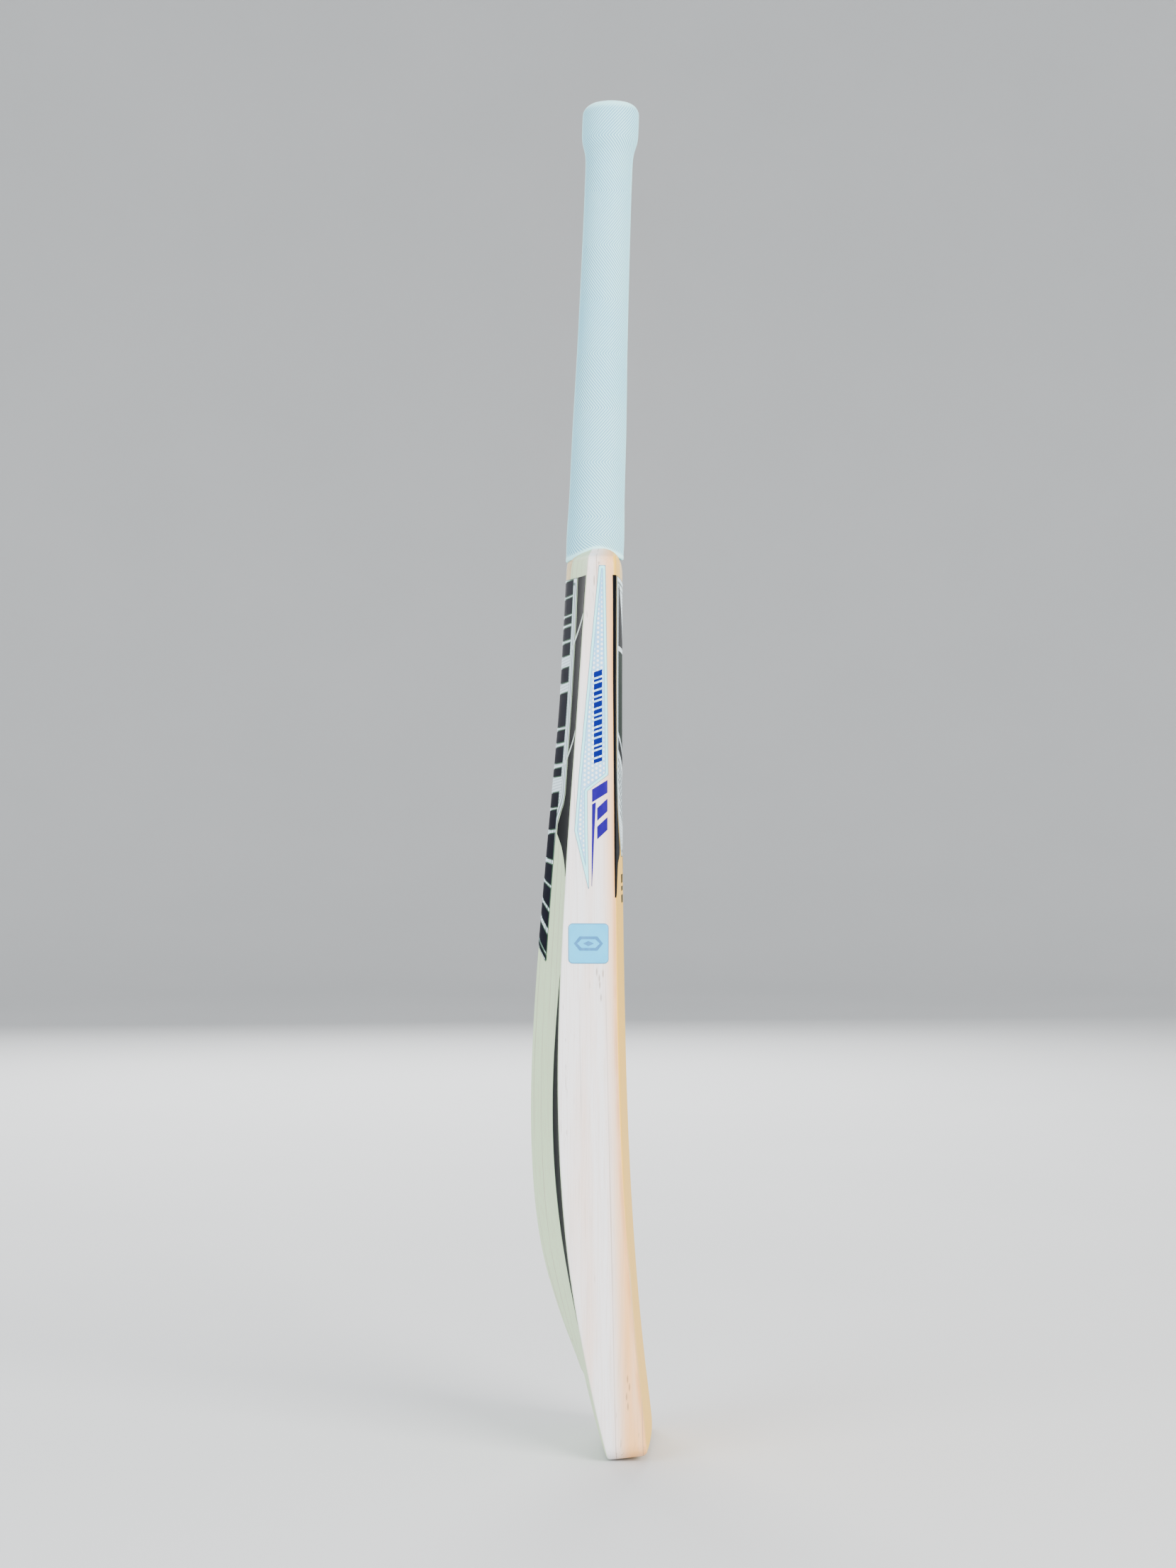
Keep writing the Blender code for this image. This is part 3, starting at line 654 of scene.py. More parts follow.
def dotted_material():
    """The edge sticker: a grey line, a bright border, and pale dots in columns on light blue."""
    material = Material("sticker_blue", roughness=0.45, Specular_IOR_Level=0.25)
    y, z = material.axes()[1:]
    rim = material.attribute("rim")
    column = material.maths("DIVIDE", material.maths("ADD", y, material.maths("MULTIPLY", z, 0.012)), 0.0024)
    shift = material.maths("MULTIPLY", material.maths("FLOOR", column), 0.5)
    row = material.maths("ADD", material.maths("DIVIDE", z, 0.0029), shift)
    in_column = material.maths("SUBTRACT", material.maths("FRACT", column), 0.5)
    in_row = material.maths("SUBTRACT", material.maths("FRACT", row), 0.5)
    dot = material.between(material.length(in_column, in_row), 0.34, 0.24)
    dot = material.maths("MULTIPLY", dot, material.between(rim, 2.3, 2.5))
    patches = material.between(material.noise(material.stretched((60, 60, 30)), 1.0, 2.0), 0.3, 0.7)
    field = material.mix(patches, srgb(140, 196, 240), srgb(156, 208, 242))
    colour = material.mix(dot, field, srgb(250, 255, 255))
    colour = material.mix(material.between(rim, 2.1, 1.9), colour, srgb(96, 150, 182))
    colour = material.mix(material.between(rim, 1.8, 1.6), colour, srgb(160, 246, 254))
    colour = material.mix(material.between(rim, 0.4, 0.25), colour, srgb(120, 140, 156))
    material.set("Base Color", colour)
    film_bump(material, dot)
    return material.made


def plain_film(name, colour, shade, roughness=0.5):
    """A printed film of one ink with faint wear."""
    material = Material(name, roughness=roughness, Specular_IOR_Level=0.04)
    wear = material.between(material.noise(material.stretched((240, 240, 60)), 1.0, 4.0, 0.6), 0.4, 0.8)
    material.set("Base Color", material.mix(wear, srgb(*colour), srgb(*shade)))
    film_bump(material)
    return material.made


def foil_material():
    """The badge: brushed light blue foil, darker at its border, with painted reflection: the brushing's glints as
    fine darker rays towards its outer corners.
    """
    material = Material("badge_foil", roughness=0.35, Metallic=0.2)
    rim = material.attribute("rim")
    y, z = material.axes()[1:]
    across = material.maths("SUBTRACT", y, BADGE_MIDDLE[0] * MM)
    up = material.maths("SUBTRACT", z, BADGE_MIDDLE[1] * MM)
    # painted reflection: glints of the brushed foil, drawn as rays towards the outer corners
    painted_glint_ray = material.maths("FRACT", material.maths("MULTIPLY", material.maths("ARCTAN2", up, across), 26.0))
    painted_glint_ray = material.between(material.away(painted_glint_ray, 0.5), 0.12, 0.04)
    painted_glint_ray = material.maths("MULTIPLY", painted_glint_ray, material.between(material.length(across, up), 0.0105, 0.0135))
    colour = material.mix(material.noise(material.place, 120.0, 2.0), srgb(44, 196, 255), srgb(72, 208, 255))
    colour = material.mix(material.maths("MULTIPLY", painted_glint_ray, 0.6), colour, srgb(70, 150, 200))
    colour = material.mix(material.between(rim, 0.7, 0.4), colour, srgb(76, 150, 190))
    material.set("Base Color", colour)
    material.bump(material.between(rim, 0.2, 1.0), 0.5, 0.0003)
    return material.made


def pale_material():
    """The pale printed film: hairlines across it, and grey lines that follow its border."""
    material = Material("sticker_pale", roughness=0.5, Specular_IOR_Level=0.2)
    axes = material.axes()
    rim = material.attribute("rim")
    fall = material.maths("MULTIPLY", material.maths("ABSOLUTE", axes[0]), 0.1)
    hair = material.repeat(material.maths("SUBTRACT", axes[2], fall), 0.0019)
    hair = material.between(material.away(hair, 0.5), 0.2, 0.1)
    hair = material.maths("MULTIPLY", hair, material.between(rim, 7.8, 8.0))
    colour = material.mix(material.maths("MULTIPLY", hair, 0.6), srgb(216, 232, 238), srgb(120, 146, 158))
    for at, half in ((3.6, 0.8), (7.4, 0.35)):
        line = material.between(material.away(rim, at), half + 0.1, half)
        colour = material.mix(line, colour, srgb(96, 118, 118))
    colour = material.mix(material.between(rim, 0.5, 0.35), colour, srgb(70, 92, 84))
    material.set("Base Color", colour)
    film_bump(material)
    return material.made


# The bat's pieces --------------------------------------------------------------------------------


def splice_tool():
    """The V of the splice, right through the blade's depth."""
    tip = SPLICE_TIP_HALF_WIDTH + SPLICE_GAP
    top_half = tip + SPLICE_SLOPE * (SPLICE_TOOL_TOP - SPLICE_TIP)
    outline = ((-tip, SPLICE_TIP), (tip, SPLICE_TIP), (top_half, SPLICE_TOOL_TOP), (-top_half, SPLICE_TOOL_TOP))
    return loft("splice_tool", [[Vector((x, y, z)) for x, z in outline] for y in SPLICE_TOOL_DEPTH])


def seat_tool():
    """Room in the blade for everything inside the grip's outer surface."""
    centre = Vector((0, axis_y(SEAT_MIDDLE), SEAT_MIDDLE))
    turns = [math.tau * i / SEAT_COUNT for i in range(SEAT_COUNT)]
    rows = [[centre + Vector((math.cos(angle), math.sin(angle), 0)) for angle in turns],
            grip_row(grip_bore, 0, SEAT_GAP, SEAT_COUNT)]
    rows += [grip_row(lambda z: grip_outer(z) + SEAT_GAP, share, SEAT_GAP, SEAT_COUNT)
             for share in (0, 0.25, 0.5, 0.75, 1)]
    return loft("seat_tool", rows)


def mark_sides(blade):
    """Attributes that tell the willow where its face, its back and its front corner are."""
    mesh = blade.data
    face, back, corner = (mesh.attributes.new(name, "FLOAT", "POINT").data for name in SIDES)
    for i, vertex in enumerate(mesh.vertices):
        y, z = vertex.co.y / MM, vertex.co.z / MM
        at = min(max(z + tilt(z) * y, 0), SHOULDER_TOP)
        past_front, past_back = y - edge_front(at), y - edge_back(at)
        face[i].value = smooth_step((-0.1 - past_front) / 1.0)
        back[i].value = smooth_step((past_back - 0.4) / 0.6)
        corner[i].value = smooth_step(1 - abs(past_front - 0.3) / 1.1)


def make_blade():
    blade = loft("willow_blade", [blade_section(z) for z in blade_heights()], willow_material())
    cut(blade, splice_tool())
    cut(blade, seat_tool())
    blade.data.shade_smooth()
    blade.data.set_sharp_from_angle(angle=math.radians(35))
    mark_sides(blade)
    show(blade, "willow", "blade")


def axis_y(z):
    return AXIS_Y + AXIS_SLOPE * (z - AXIS_HEIGHT)


def oval_point(half_depth, z, angle):
    return Vector((OVAL * half_depth * math.cos(angle), axis_y(z) + half_depth * math.sin(angle), z))


def grip_outer(z):
    if z <= GRIP_TOP - GRIP_TOP_DROP:
        return curve(GRIP_HALF_DEPTH, z)
    share = (z - GRIP_TOP + GRIP_TOP_DROP) / GRIP_TOP_DROP
    return curve(GRIP_HALF_DEPTH, z) - GRIP_TOP_INSET * (1 - math.sqrt(max(1 - share**2, 0.0)))


def grip_bore(z):
    return curve(BARE_HALF_DEPTH, z) + GRIP_WALL_ROOM


def rim_height(angle):
    """The grip's arched lower rim: low on the face and back, high over the shoulders."""
    y = axis_y(GRIP_RIM) + curve(GRIP_HALF_DEPTH, GRIP_RIM) * math.sin(angle)
    return GRIP_RIM + GRIP_ARCH * math.exp(-(((y - GRIP_ARCH_Y) / GRIP_ARCH_WIDTH) ** 2))


def grip_row(half_depth_at, share, lowered, count, turn=0.0):
    """A loop of the grip between its arched rim (share 0) and its level rows (share 1)."""
    points = []
    for i in range(count):
        angle = math.tau * i / count + turn
        foot = rim_height(angle) - lowered
        z = foot + (GRIP_STRAIGHT - foot) * share
        points.append(oval_point(half_depth_at(z), z, angle))
    return points


def rib_turn(z):
    """How far the ribs have turned round the handle at a height: back and forth, band by band."""
    if z > COLLAR_SEAM:
        return RIB_TWIST * (z - COLLAR_SEAM)
    bands = (COLLAR_SEAM - z) / BAND_HEIGHT
    whole = math.floor(bands)
    part = bands - whole
    swing = part if whole % 2 == 0 else 1 - part
    return RIB_TWIST * BAND_HEIGHT * swing


def seam_groove(z):
    """The shallow groove where two bands meet."""
    bands = (COLLAR_SEAM - z) / BAND_HEIGHT
    away = abs(bands - round(bands)) * BAND_HEIGHT
    if z > COLLAR_SEAM + 2:
        return 0.0
    return SEAM_DEPTH * max(0.0, 1 - away / SEAM_WIDTH)


def grip_heights():
    """Level rows: an even spacing that also has a row on each seam."""
    heights = []
    seams = [COLLAR_SEAM - BAND_HEIGHT * k for k in range(8)]
    heights += steps(GRIP_STRAIGHT, seams[-1] - SEAM_WIDTH, 7)
    for low, high in zip(reversed(seams), list(reversed(seams))[1:]):
        heights += [low] + steps(low + SEAM_WIDTH, high - SEAM_WIDTH, round(BAND_HEIGHT / ROW_HEIGHT))
    start = GRIP_TOP - GRIP_TOP_DROP
    heights += [COLLAR_SEAM] + steps(COLLAR_SEAM + SEAM_WIDTH, start, 10)
    heights += [start + GRIP_TOP_DROP * math.sin(angle) for angle in steps(0, math.pi / 2, 12)[1:]]
    return heights


def rib_share(i):
    """1 on top of a rib and 0 between two ribs, for a column of the grip's mesh."""
    return 0.5 + 0.5 * math.cos(math.tau * i / RIB_SAMPLES)


def ribbed_loop(fade, point_at):
    """A loop of the outer skin; point_at gives a point for a column and the depth that it is sunk by."""
    loop = []
    for i in range(RIB_COUNT * RIB_SAMPLES):
        between_ribs = fade * (1 - rib_share(i))
        # the second value is the rib share that the grip's painted shade follows
        loop.append((point_at(i, RIB_DEPTH * between_ribs), 1 - between_ribs))
    return loop


def skin_loops():
    """The outer skin from the arched rim up to the top, as loops of (point, rib) pairs."""
    count = RIB_COUNT * RIB_SAMPLES
    low_turn = rib_turn(GRIP_STRAIGHT)
    loops = []
    for share, fade, swell in RIM_LOOPS:
        def in_rim(i, sunk, share=share, swell=swell):
            angle = math.tau * i / count + low_turn + RIB_TWIST * (1 - share) * RIM_TWIST_HEIGHT
            foot = rim_height(angle)
            z = foot + (GRIP_STRAIGHT - foot) * share
            return oval_point(grip_outer(z) + swell - sunk, z, angle)
        loops.append(ribbed_loop(fade, in_rim))
    for z in grip_heights():
        def level(i, sunk, z=z):
            angle = math.tau * i / count + rib_turn(z)
            return oval_point(grip_outer(z) - sunk - seam_groove(z), z, angle)
        fade = min(1.0, max(0.0, (GRIP_TOP - RIB_FADE_TOP - z) / RIB_FADE))
        loops.append(ribbed_loop(fade, level))
    return loops


def inner_loops():
    """The lip of the hole in the top, and the bore down to the rim, as loops of (point, rib) pairs."""
    count = RIB_COUNT * RIB_SAMPLES
    turn = rib_turn(GRIP_TOP)
    under_lip = GRIP_TOP - GRIP_LIP
    places = ((GRIP_HOLE + 0.12, GRIP_TOP - 0.1), (GRIP_HOLE + 0.4, GRIP_TOP), (GRIP_HOLE, GRIP_TOP - 0.5),
              (GRIP_HOLE, under_lip), (grip_bore(under_lip), under_lip), (grip_bore(BORE_STEP), BORE_STEP))
    # the lip and the bore get low rib values, for painted shade inside the hole
    loops = [[(oval_point(half_depth, z, math.tau * i / count + turn), 0.8) for i in range(count)]
             for half_depth, z in places]
    for share in (1, 0):
        loops.append([(point, 0.5) for point in grip_row(grip_bore, share, 0, count, turn)])
    return loops


def make_grip():
    """A sleeve with diagonal ribs, a thick collar, a hole over the handle's end, and a raised rim below."""
    mesh_data = bmesh.new()
    rib_layer = mesh_data.verts.layers.float.new("rib")
    rows = []
    for loop in skin_loops() + inner_loops():
        row = [mesh_data.verts.new(point) for point, _ in loop]
        for vert, (_, rib) in zip(row, loop):
            vert[rib_layer] = rib
        rows.append(row)
    for low, high in zip(rows, rows[1:] + rows[:1]):
        for i in range(len(low)):
            j = (i + 1) % len(low)
            mesh_data.faces.new((low[i], low[j], high[j], high[i]))
    grip = mesh_object("rubber_grip", mesh_data, grip_material(), sharp=60)
    show(grip, "grip_rubber", "grip")


def finish_handle():
    """The canes, springs and binding keep their CAD shapes and get their own materials."""
    finishes = (("cane_layer", cane_material()), ("rubber_spring", rubber_material()),
                ("twine_binding", twine_material()))
    for name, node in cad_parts.items():
        for start, finish in finishes:
            if name.startswith(start):
                node.data.materials.clear()
                node.data.materials.append(finish)


# Stickers ----------------------------------------------------------------------------------------

FILM = (0.03, 0.13)          # a film's underside and top, above the wood
PRINT = (0.12, 0.17)         # a print on a film
WIDE_FILM = (0.03, 0.28)     # the same for the broad films that also cover the splice
WIDE_PRINT = (0.26, 0.33)


def on_back(x, z):
    return Vector((x, back_y(x, z), z))


def on_face(x, z):
    return Vector((x, face_y(x, z), z))


def on_edge(side):
    """The surface of one edge as a function of depth and height."""
    def surface(y, z):
        front, back = edge_front(z), edge_back(z)
        share = (y - front) / (back - front)
        return Vector((side * (half_width(z) - EDGE_BULGE * (2 * share - 1) ** 2), y, z))
    return surface


EDGE_STICKER = ((555.0, 12.0, 16.2), (510, 11.3, 20.6), (465, 10.6, 24.8), (425, 10.2, 28.6),
                (420, 16.8, 29.0), (415, 23.2, 29.4), (390.4, 23.0, 31.4), (354.5, 22.2, 22.8))


def edge_sticker(side, word, film):
    surface, outward = on_edge(side), Vector((side, 0, 0))
    rows = profile_rows(EDGE_STICKER, 1.2, 14)
    sticker = sheet(f"dotted_edge_sticker_{word}", surface, outward, rows, *FILM, film, rim=True)
    show(sticker, "sticker_blue", f"edge_sticker_{word}")


def slanted_bar(surface, outward, front, back, top, height, slant, level, material, name="bar"):
    corners = ((front, top), (back, top - slant), (back, top - slant - height), (front, top - height))
    return sheet(name, surface, outward, quad_rows(corners), *level, material)


CODE_TOP = 490.5
CODE_BACK, CODE_FRONT = 19.3, 14.1
CODE_HEIGHTS = (3.6, 1.6, 3.6, 2.6, 1.6, 3.6, 2.6, 1.6, 3.6, 1.6, 2.6, 3.6, 1.6, 3.6, 2.6)
CODE_SLANT = 1.8
CODE_GAP = 1.2


def edge_code(side, word, ink):
    """A column of short slanted navy bars in the middle of the dotted sticker."""
    surface, outward = on_edge(side), Vector((side, 0, 0))
    bars = []
    top = CODE_TOP
    for height in CODE_HEIGHTS:
        bars.append(slanted_bar(surface, outward, CODE_FRONT, CODE_BACK, top, height, CODE_SLANT, PRINT, ink))
        top -= height + CODE_GAP
    show(joined(f"edge_code_{word}", bars), "sticker_purple")


BAR_TOP = 422.0
BAR_PITCH = 11.5
BAR_HEIGHT = 8.0
BAR_SLANT = 6.0
BAR_FRONT = 10.8
BAR_BACKS = (20.4, 17.2, 17.2)
TAIL_TIP = 356.0


def edge_bars(side, word, ink):
    """Three slanted purple bars; a thin tail runs down from the first along the dotted sticker."""
    surface, outward = on_edge(side), Vector((side, 0, 0))
    for number, back in enumerate(BAR_BACKS):
        top = BAR_TOP - BAR_PITCH * number
        bar = slanted_bar(surface, outward, BAR_FRONT, back, top, BAR_HEIGHT, BAR_SLANT, FILM, ink,
                          f"purple_bar_{word}_{number + 1}")
        show(bar, "sticker_purple", f"edge_bar_{word}_{number + 1}")
    top = BAR_TOP - BAR_HEIGHT - BAR_SLANT - 1.2
    corners = ((18.0, top + 1.4), (20.4, top), (20.7, TAIL_TIP), (20.4, TAIL_TIP))
    tail = sheet(f"purple_tail_{word}", surface, outward, quad_rows(corners, 1.5), *FILM, ink)
    show(tail, "sticker_purple")


BADGE_HALF = 12.5
BADGE_CORNER = 2.8


def badge_rows():
    """A square with round corners, in rows of equal length."""
    y0, z0 = BADGE_MIDDLE
    inside = BADGE_HALF - BADGE_CORNER
    levels = [(inside + BADGE_CORNER * math.sin(angle), inside + BADGE_CORNER * math.cos(angle))
              for angle in steps(0, math.pi / 2, 6)]
    heights = [(-rise, reach) for rise, reach in reversed(levels)]
    heights += [(rise, BADGE_HALF) for rise in steps(-inside, inside, 20)[1:-1]]
    heights += levels
    return [[(y0 + across, z0 + rise) for across in steps(-reach, reach, 24)] for rise, reach in heights]


def badge(side, word, foil, ink):
    """A foil square with an embossed mark: a long flat hexagon with a lozenge in it."""
    surface, outward = on_edge(side), Vector((side, 0, 0))
    plate = sheet(f"foil_badge_{word}", surface, outward, badge_rows(), 0.03, 0.25, foil, rim=True)
    show(plate, "badge_foil", f"edge_badge_{word}")
    y0, z0 = BADGE_MIDDLE
    outer = ((9.0, 0.0), (5.5, 4.4), (-5.5, 4.4), (-9.0, 0.0), (-5.5, -4.4), (5.5, -4.4))
    inner = [(y * 0.78, z * 0.62) for y, z in outer]
    lozenge = ((3.4, 0.0), (0.0, 1.6), (-3.4, 0.0), (0.0, -1.6))
    marks = [(outer[k], outer[(k + 1) % 6], inner[(k + 1) % 6], inner[k]) for k in range(6)] + [lozenge]
    pieces = []
    for mark in marks:
        corners = [(y0 + y, z0 + z) for y, z in mark]
        pieces.append(sheet("mark", surface, outward, quad_rows(corners), 0.2, 0.38, ink))
    show(joined(f"badge_mark_{word}", pieces), "badge_foil")


BACK_STICKER = ((549, 29.2), (500, 31.0), (450, 31.2), (413, 31.4), (407, 29.5), (402, 25.0), (396, 20.2),
                (388, 18.5), (366, 18.0), (345, 18.0), (318, 16.5))
BACK_NOTCH = 11.0        # the foot of the back sticker is cut in like a swallow's tail
BACK_NOTCH_START = 386.0
BACK_NOTCH_FADE = 60.0
# The dark blocks along the spine, as (top, foot)
BACK_BLOCKS = ((547, 538), (536, 526), (524, 520), (517.5, 510), (507.5, 500), (492, 483), (476, 455),
               (452.5, 445), (442, 432), (428.5, 423.5), (413, 404), (402, 390), (387, 373), (370, 360),
               (358, 348.5), (346, 338), (334, 323.5), (321.5, 319))
BLOCK_REACH = ((318, 17.3), (390, 17.3), (413, 19.5), (440, 21.5), (549, 21.5))
BLOCK_RISE = 1.2
LINE_WIDTH = 0.7


def notch_drop(z):
    """How far the sides of the back sticker hang below its middle."""
    return BACK_NOTCH * smooth_step((BACK_NOTCH_START - z) / BACK_NOTCH_FADE)


def back_block(side, top, foot, margin, level, ink):
    """Half of one block, wider by a margin on its outer side, its top and its foot."""
    reach = curve(BLOCK_REACH, (top + foot) / 2) + margin
    top_side = top + margin + (BLOCK_RISE if top > BACK_NOTCH_START else 0) - notch_drop(top)
    foot_side = foot - margin + (BLOCK_RISE if foot > BACK_NOTCH_START else 0) - notch_drop(foot)
    corners = ((0, top + margin), (side * reach, top_side), (side * reach, foot_side), (0, foot - margin))
    return sheet("block", on_back, BACK, quad_rows(corners, 2.0), *level, ink)


def back_film_rows(step, columns):
    """The back sticker's rows: straight across above, and hanging at both sides below."""
    rows = []
    for (z0, reach0), (z1, reach1) in zip(BACK_STICKER, BACK_STICKER[1:]):
        count = max(1, round((z0 - z1) / step))
        for i in range(count):
            t = i / count
            rows.append((z0 + (z1 - z0) * t, reach0 + (reach1 - reach0) * t))
    rows.append(BACK_STICKER[-1])
    shares = steps(-1, 1, columns)
    return [[(reach * share, z - notch_drop(z) * abs(share)) for share in shares] for z, reach in rows]


def back_sticker(film, ink, outline_ink):
    """A pale film over the spine with dark blocks along it, each in a thin outline."""
    rows = back_film_rows(2.0, 60)
    sticker = sheet("printed_back_sticker", on_back, BACK, rows, *WIDE_FILM, film, rim=True)
    show(sticker, "sticker_pale", "back_sticker")
    blocks, outlines = [], []
    thin = (WIDE_PRINT[0], WIDE_PRINT[1] - 0.04)
    for top, foot in BACK_BLOCKS:
        for side in (-1, 1):
            outlines.append(back_block(side, top, foot, LINE_WIDTH, thin, outline_ink))
            blocks.append(back_block(side, top, foot, 0.0, WIDE_PRINT, ink))
    show(joined("back_block_outlines", outlines), "sticker_black")
    show(joined("back_blocks", blocks), "sticker_black")


BACK_STRIPE = ((549, 20.0), (520, 18.0), (480, 18.0), (413, 17.5), (407, 19.5), (402, 24.0), (394, 29.5),
               (388, 29.5), (380, 18.0), (372, 9.5), (362, 0.6))
CROSSING_TOPS = (525.5, 453.0)
CROSSING_RUN = 26.0
CROSSING_FALL = 21.0
CROSSING_WIDTH = 2.6
STRIPE_OUTER = BLADE_HALF_WIDTH - BACK_CORNER - 0.4


def back_stripe(side, word, ink, pale):
    """A bold black stripe beside the edge's corner, crossed by two thin slanted lines."""
    outer, inner = side * STRIPE_OUTER, side * (STRIPE_OUTER - CROSSING_RUN)
    profile = [(z, outer, outer - side * width) for z, width in BACK_STRIPE]
    rows = profile_rows(profile, 2.0, 16)
    stripe = sheet(f"black_back_stripe_{word}", on_back, BACK, rows, *WIDE_FILM, ink)
    show(stripe, "sticker_black", f"back_stripe_{word}")
    lines = []
    for top in CROSSING_TOPS:
        corners = ((outer, top), (inner, top - CROSSING_FALL),
                   (inner, top - CROSSING_FALL - CROSSING_WIDTH), (outer, top - CROSSING_WIDTH))
        lines.append(sheet("line", on_back, BACK, quad_rows(corners), *WIDE_PRINT, pale))
    show(joined(f"back_cross_lines_{word}", lines), "sticker_pale")


CRESCENT_FOOT, CRESCENT_TOP = 84.0, 301.0
CRESCENT_WIDTH = 16.0
CRESCENT_BORDER = 0.7


def back_crescent(side, word, ink, border):
    """A sickle on the flank of the lower blade, with a thin border on its inner side."""
    rows, border_rows = [], []
    for share in steps(0, 1, 64):
        z = CRESCENT_FOOT + (CRESCENT_TOP - CRESCENT_FOOT) * share
        width = 0.2 + CRESCENT_WIDTH * math.sin(math.pi * share) ** 0.65
        rows.append([(side * (STRIPE_OUTER - width * s), z) for s in steps(0, 1, 8)])
        border_rows.append([(side * (STRIPE_OUTER - width - s), z) for s in steps(0, CRESCENT_BORDER, 2)])
    sickle = sheet(f"black_crescent_{word}", on_back, BACK, rows, *FILM, ink)
    show(sickle, "sticker_black", f"back_crescent_{word}")
    show(sheet(f"crescent_border_{word}", on_back, BACK, border_rows, *FILM, border), "sticker_black")


FACE_STICKER = ((549, 44), (480, 44), (420, 42.5), (405, 38.5), (390, 28.5), (380, 17), (373, 6))
FACE_STRIPE = ((549, 3.6), (480, 3.6), (430, 5), (405, 9), (390, 18), (379, 28), (375, 26), (370, 11),
               (362, 5), (349, 0.4))
FACE_REACH = 34          # half the width of the prints on the face sticker
HATCH_COUNT = 8
HATCH_TOP = 427.5
HATCH_PITCH = 4.2
HATCH_WIDTH = 1.6
FACE_DASHES = ((362, 5.5), (354.5, 3.0), (349, 5.0))


def face_sticker(film, green, ink):
    """A pale shield on the face with plain slanted prints."""
    profile = [(z, -reach, reach) for z, reach in FACE_STICKER]
    rows = profile_rows(profile, 2.0, 44)
    sticker = sheet("printed_face_sticker", on_face, FRONT, rows, *WIDE_FILM, film, rim=True)
    show(sticker, "sticker_pale", "face_sticker")
    side = FACE_REACH
    shapes = (("face_wedge", ink, ((-side, 544), (-27, 544), (side, 506), (-side, 506))),
              ("face_block", green, ((-side, 503), (side, 503), (side, 438), (-side, 452))),
              ("face_band", ink, ((-side, 449), (side, 435), (side, 427), (-side, 441))),
              ("face_slash_1", ink, ((22, 544), (27, 541), (31, 528), (26, 531))),
              ("face_slash_2", ink, ((30, 540), (34, 537), (34, 524), (33, 528))))
    for name, material, corners in shapes:
        show(sheet(name, on_face, FRONT, quad_rows(corners, 2.0), *WIDE_PRINT, material), "sticker_black")
    show(joined("face_hatch", [face_line(k, ink) for k in range(HATCH_COUNT)]), "sticker_black")
    dashes = []
    for z, height in FACE_DASHES:
        corners = ((-11, z), (11, z), (10, z - height), (-10, z - height))
        dashes.append(sheet("dash", on_face, FRONT, quad_rows(corners, 2.0), *FILM, green))
    show(joined("face_dashes", dashes), "sticker_black")


def face_line(k, ink):
    """One slanted line of the hatching; the lower ones are shorter, as the shield draws in."""
    middle, reach = HATCH_TOP - HATCH_PITCH * k, FACE_REACH - 4 * max(0, k - 3)
    left, right = middle + reach / 4, middle - reach / 4
    corners = ((-reach, left), (reach, right), (reach, right - HATCH_WIDTH), (-reach, left - HATCH_WIDTH))
    return sheet("line", on_face, FRONT, quad_rows(corners, 2.0), *WIDE_PRINT, ink)


CORNER_ARC = 4.0         # length given to the way round the front corner
STRIPE_START = 0.2
STRIPE_ARC = 4.2         # how far a whole stripe goes before its width on the face counts


def on_front_corner(side):
    """The rounded corner and the face beside it; u is the way round from the edge in millimetres."""
    def surface(u, z):
        start_x = half_width(z) - FACE_CORNER
        if u >= CORNER_ARC:
            x = start_x - (u - CORNER_ARC)
            return Vector((side * x, face_y(x, z), z))
        angle = (1 - u / CORNER_ARC) * math.pi / 2
        front, start_y = edge_front(z), face_y(start_x, z)
        x = start_x + (FACE_CORNER - EDGE_BULGE) * math.sin(angle)
        return Vector((side * x, front - (front - start_y) * math.cos(angle), z))
    return surface


def face_stripe(side, word, ink):
    """A black stripe that starts on the rounded corner and lies along the side of the face."""
    profile = [(z, STRIPE_START, STRIPE_START + STRIPE_ARC * min(width, 1.0) + width) for z, width in FACE_STRIPE]
    rows = profile_rows(profile, 2.0, 36)
    outward = Vector((side * 0.7, -0.7, 0))
    stripe = sheet(f"black_face_stripe_{word}", on_front_corner(side), outward, rows, *FILM, ink)
    show(stripe, "sticker_black", f"face_stripe_{word}")


def make_stickers():
    blue, foil, pale = dotted_material(), foil_material(), pale_material()
    purple = plain_film("purple_ink", (36, 14, 116), (46, 24, 130))
    navy = plain_film("navy_ink", (12, 22, 104), (20, 32, 116))
    grey_blue = plain_film("grey_blue_ink", (66, 126, 176), (84, 142, 190), 0.35)
    black = plain_film("black_ink", (4, 5, 8), (12, 14, 19))
    night = plain_film("night_ink", (2, 3, 18), (8, 10, 30))
    green = plain_film("green_ink", (8, 24, 14), (16, 34, 22))
    grey_green = plain_film("grey_green_ink", (64, 92, 70), (80, 106, 84))
    light = plain_film("light_ink", (206, 220, 212), (190, 206, 200))
    back_sticker(pale, night, grey_green)
    face_sticker(pale, green, black)
    for side, word in ((-1, "left"), (1, "right")):
        edge_sticker(side, word, blue)
        edge_code(side, word, navy)
        edge_bars(side, word, purple)
        badge(side, word, foil, grey_blue)
        back_stripe(side, word, black, light)
        back_crescent(side, word, black, grey_green)
        face_stripe(side, word, black)


# Studio ------------------------------------------------------------------------------------------

CAMERA_DISTANCE = 1800.0
CAMERA_TURN = 2.8        # degrees from the edge-on view towards the face
CAMERA_AIM = Vector((0, 25.5, 419.4))
FRAME_HEIGHT = 1001.0    # height in view at the aim
SENSOR = 36.0
FLOOR_SIDES = 96
FLOOR_REACH = 6.0        # metres, as are the wall's height and the bend between them
FLOOR_BEND = 2.0
WALL_HEIGHT = 6.0


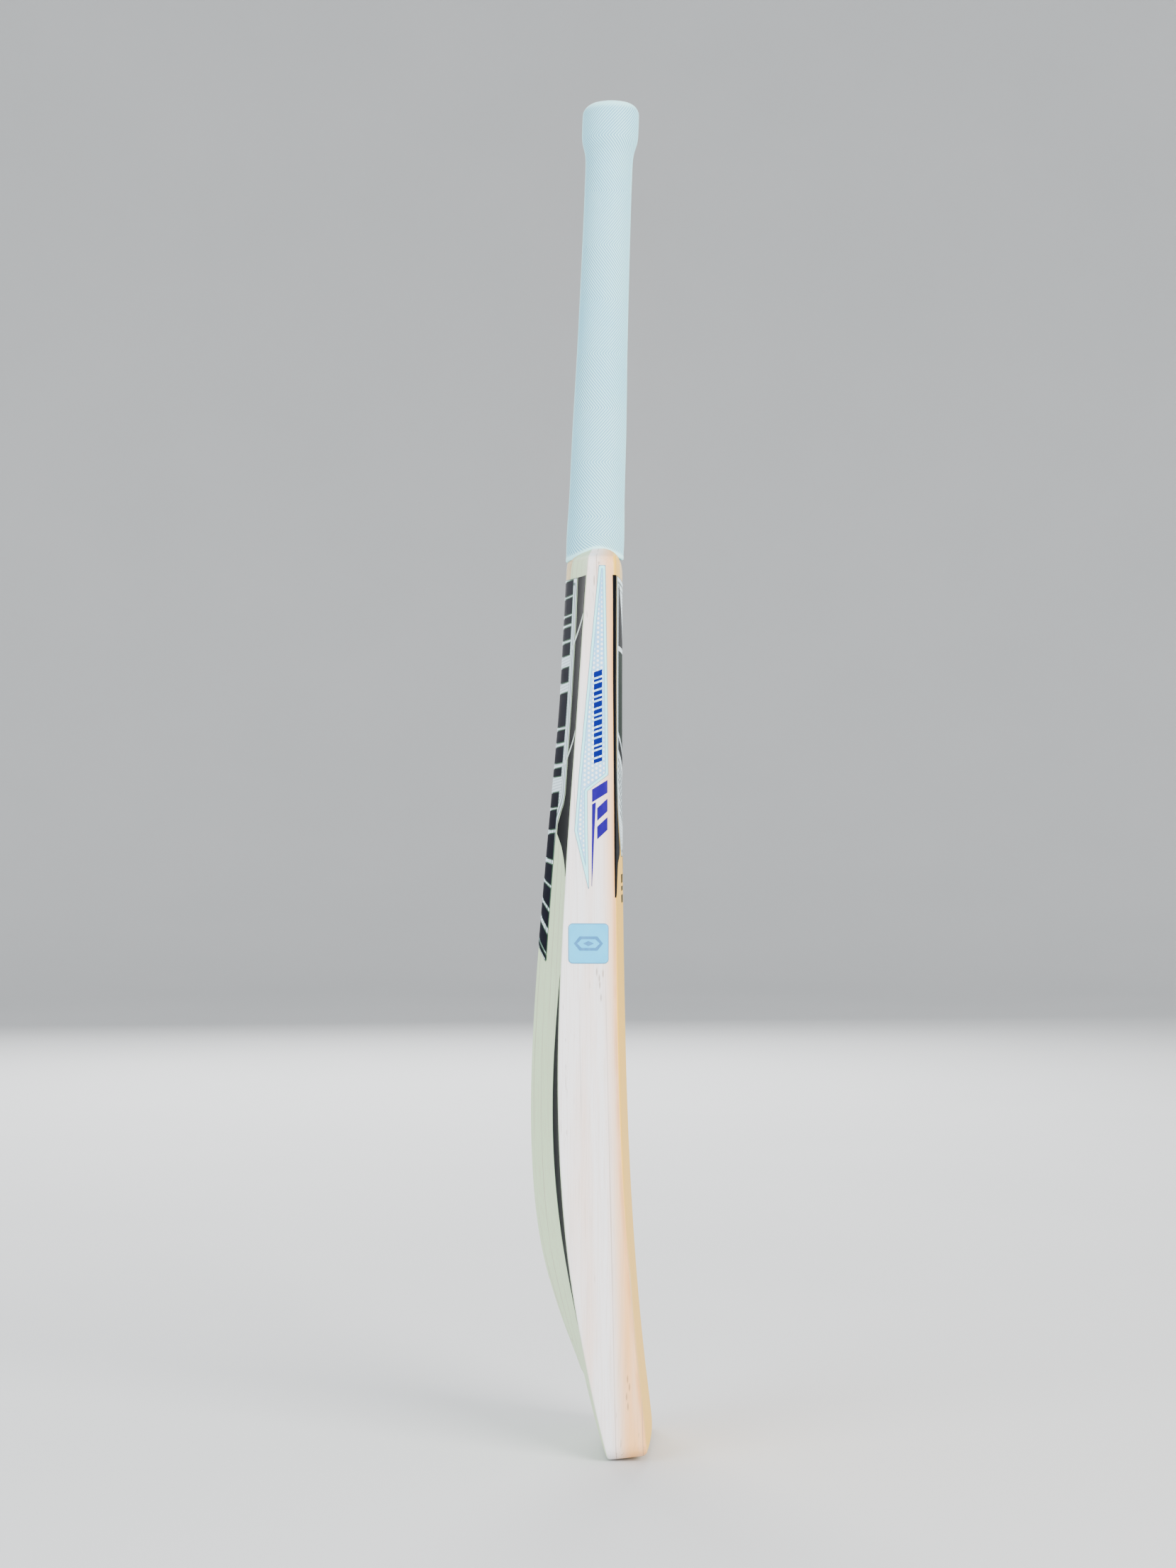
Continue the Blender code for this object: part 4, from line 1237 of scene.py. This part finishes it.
def make_floor():
    """A pale round floor that curves up into a wall on all sides."""
    material = Material("studio_floor", roughness=0.9)
    mottle = material.noise(material.place, 3.0, 2.0)
    material.set("Base Color", material.mix(mottle, srgb(190, 192, 193), srgb(196, 197, 198)))
    flat = FLOOR_REACH - FLOOR_BEND
    profile = [(0.3, 0.0), (1.0, 0.0), (flat, 0.0)]
    profile += [(flat + FLOOR_BEND * math.sin(angle), FLOOR_BEND * (1 - math.cos(angle)))
                for angle in steps(0, math.pi / 2, 16)[1:]]
    profile.append((FLOOR_REACH, WALL_HEIGHT))
    turns = [math.tau * i / FLOOR_SIDES for i in range(FLOOR_SIDES)]
    mesh_data = bmesh.new()
    rows = [[mesh_data.verts.new((radius * math.cos(turn), radius * math.sin(turn), z)) for turn in turns]
            for radius, z in profile]
    mesh_data.faces.new(rows[0])
    for low, high in zip(rows, rows[1:]):
        for i in range(FLOOR_SIDES):
            j = (i + 1) % FLOOR_SIDES
            mesh_data.faces.new((low[j], low[i], high[i], high[j]))
    mesh = bpy.data.meshes.new("studio_floor")
    mesh_data.to_mesh(mesh)
    mesh_data.free()
    mesh.materials.append(material.made)
    mesh.shade_smooth()
    floor = bpy.data.objects.new("studio_floor", mesh)
    floor.location.z = cad_low.z
    bpy.context.collection.objects.link(floor)


def add_light(name, place, aim, size, power, colour):
    light = bpy.data.lights.new(name, "AREA")
    light.color = colour
    light.shape = "RECTANGLE"
    light.size, light.size_y = size
    light.energy = power
    thing = bpy.data.objects.new(name, light)
    thing.location = place
    thing.rotation_euler = (Vector(aim) - Vector(place)).to_track_quat("-Z", "Y").to_euler()
    bpy.context.collection.objects.link(thing)


def make_lights():
    middle = (0, 0.02, 0.42)
    add_light("key", (-2.0, -2.0, 1.6), middle, (1.8, 1.8), 225, (1.0, 0.97, 0.92))
    add_light("fill", (-2.0, 2.0, 1.2), middle, (1.8, 2.0), 100, (0.88, 0.95, 1.0))
    add_light("far_side", (2.4, 0.4, 1.6), middle, (1.8, 2.0), 120, (1.0, 1.0, 1.0))
    world = bpy.data.worlds.new("studio")
    world.use_nodes = True
    background = world.node_tree.nodes["Background"]
    background.inputs["Color"].default_value = (0.95, 0.97, 1.0, 1.0)
    background.inputs["Strength"].default_value = 1.35
    bpy.context.scene.world = world


def make_camera():
    turn = math.radians(CAMERA_TURN)
    offset = Vector((-math.cos(turn), -math.sin(turn), 0)) * CAMERA_DISTANCE
    camera = bpy.data.cameras.new("camera")
    camera.sensor_width = SENSOR
    camera.lens = SENSOR * CAMERA_DISTANCE / FRAME_HEIGHT
    thing = bpy.data.objects.new("camera", camera)
    thing.location = (CAMERA_AIM + offset) * MM
    thing.rotation_euler = (-offset).to_track_quat("-Z", "Y").to_euler()
    bpy.context.collection.objects.link(thing)
    bpy.context.scene.camera = thing


make_camera()
make_floor()
make_lights()
make_blade()
make_grip()
finish_handle()
make_stickers()
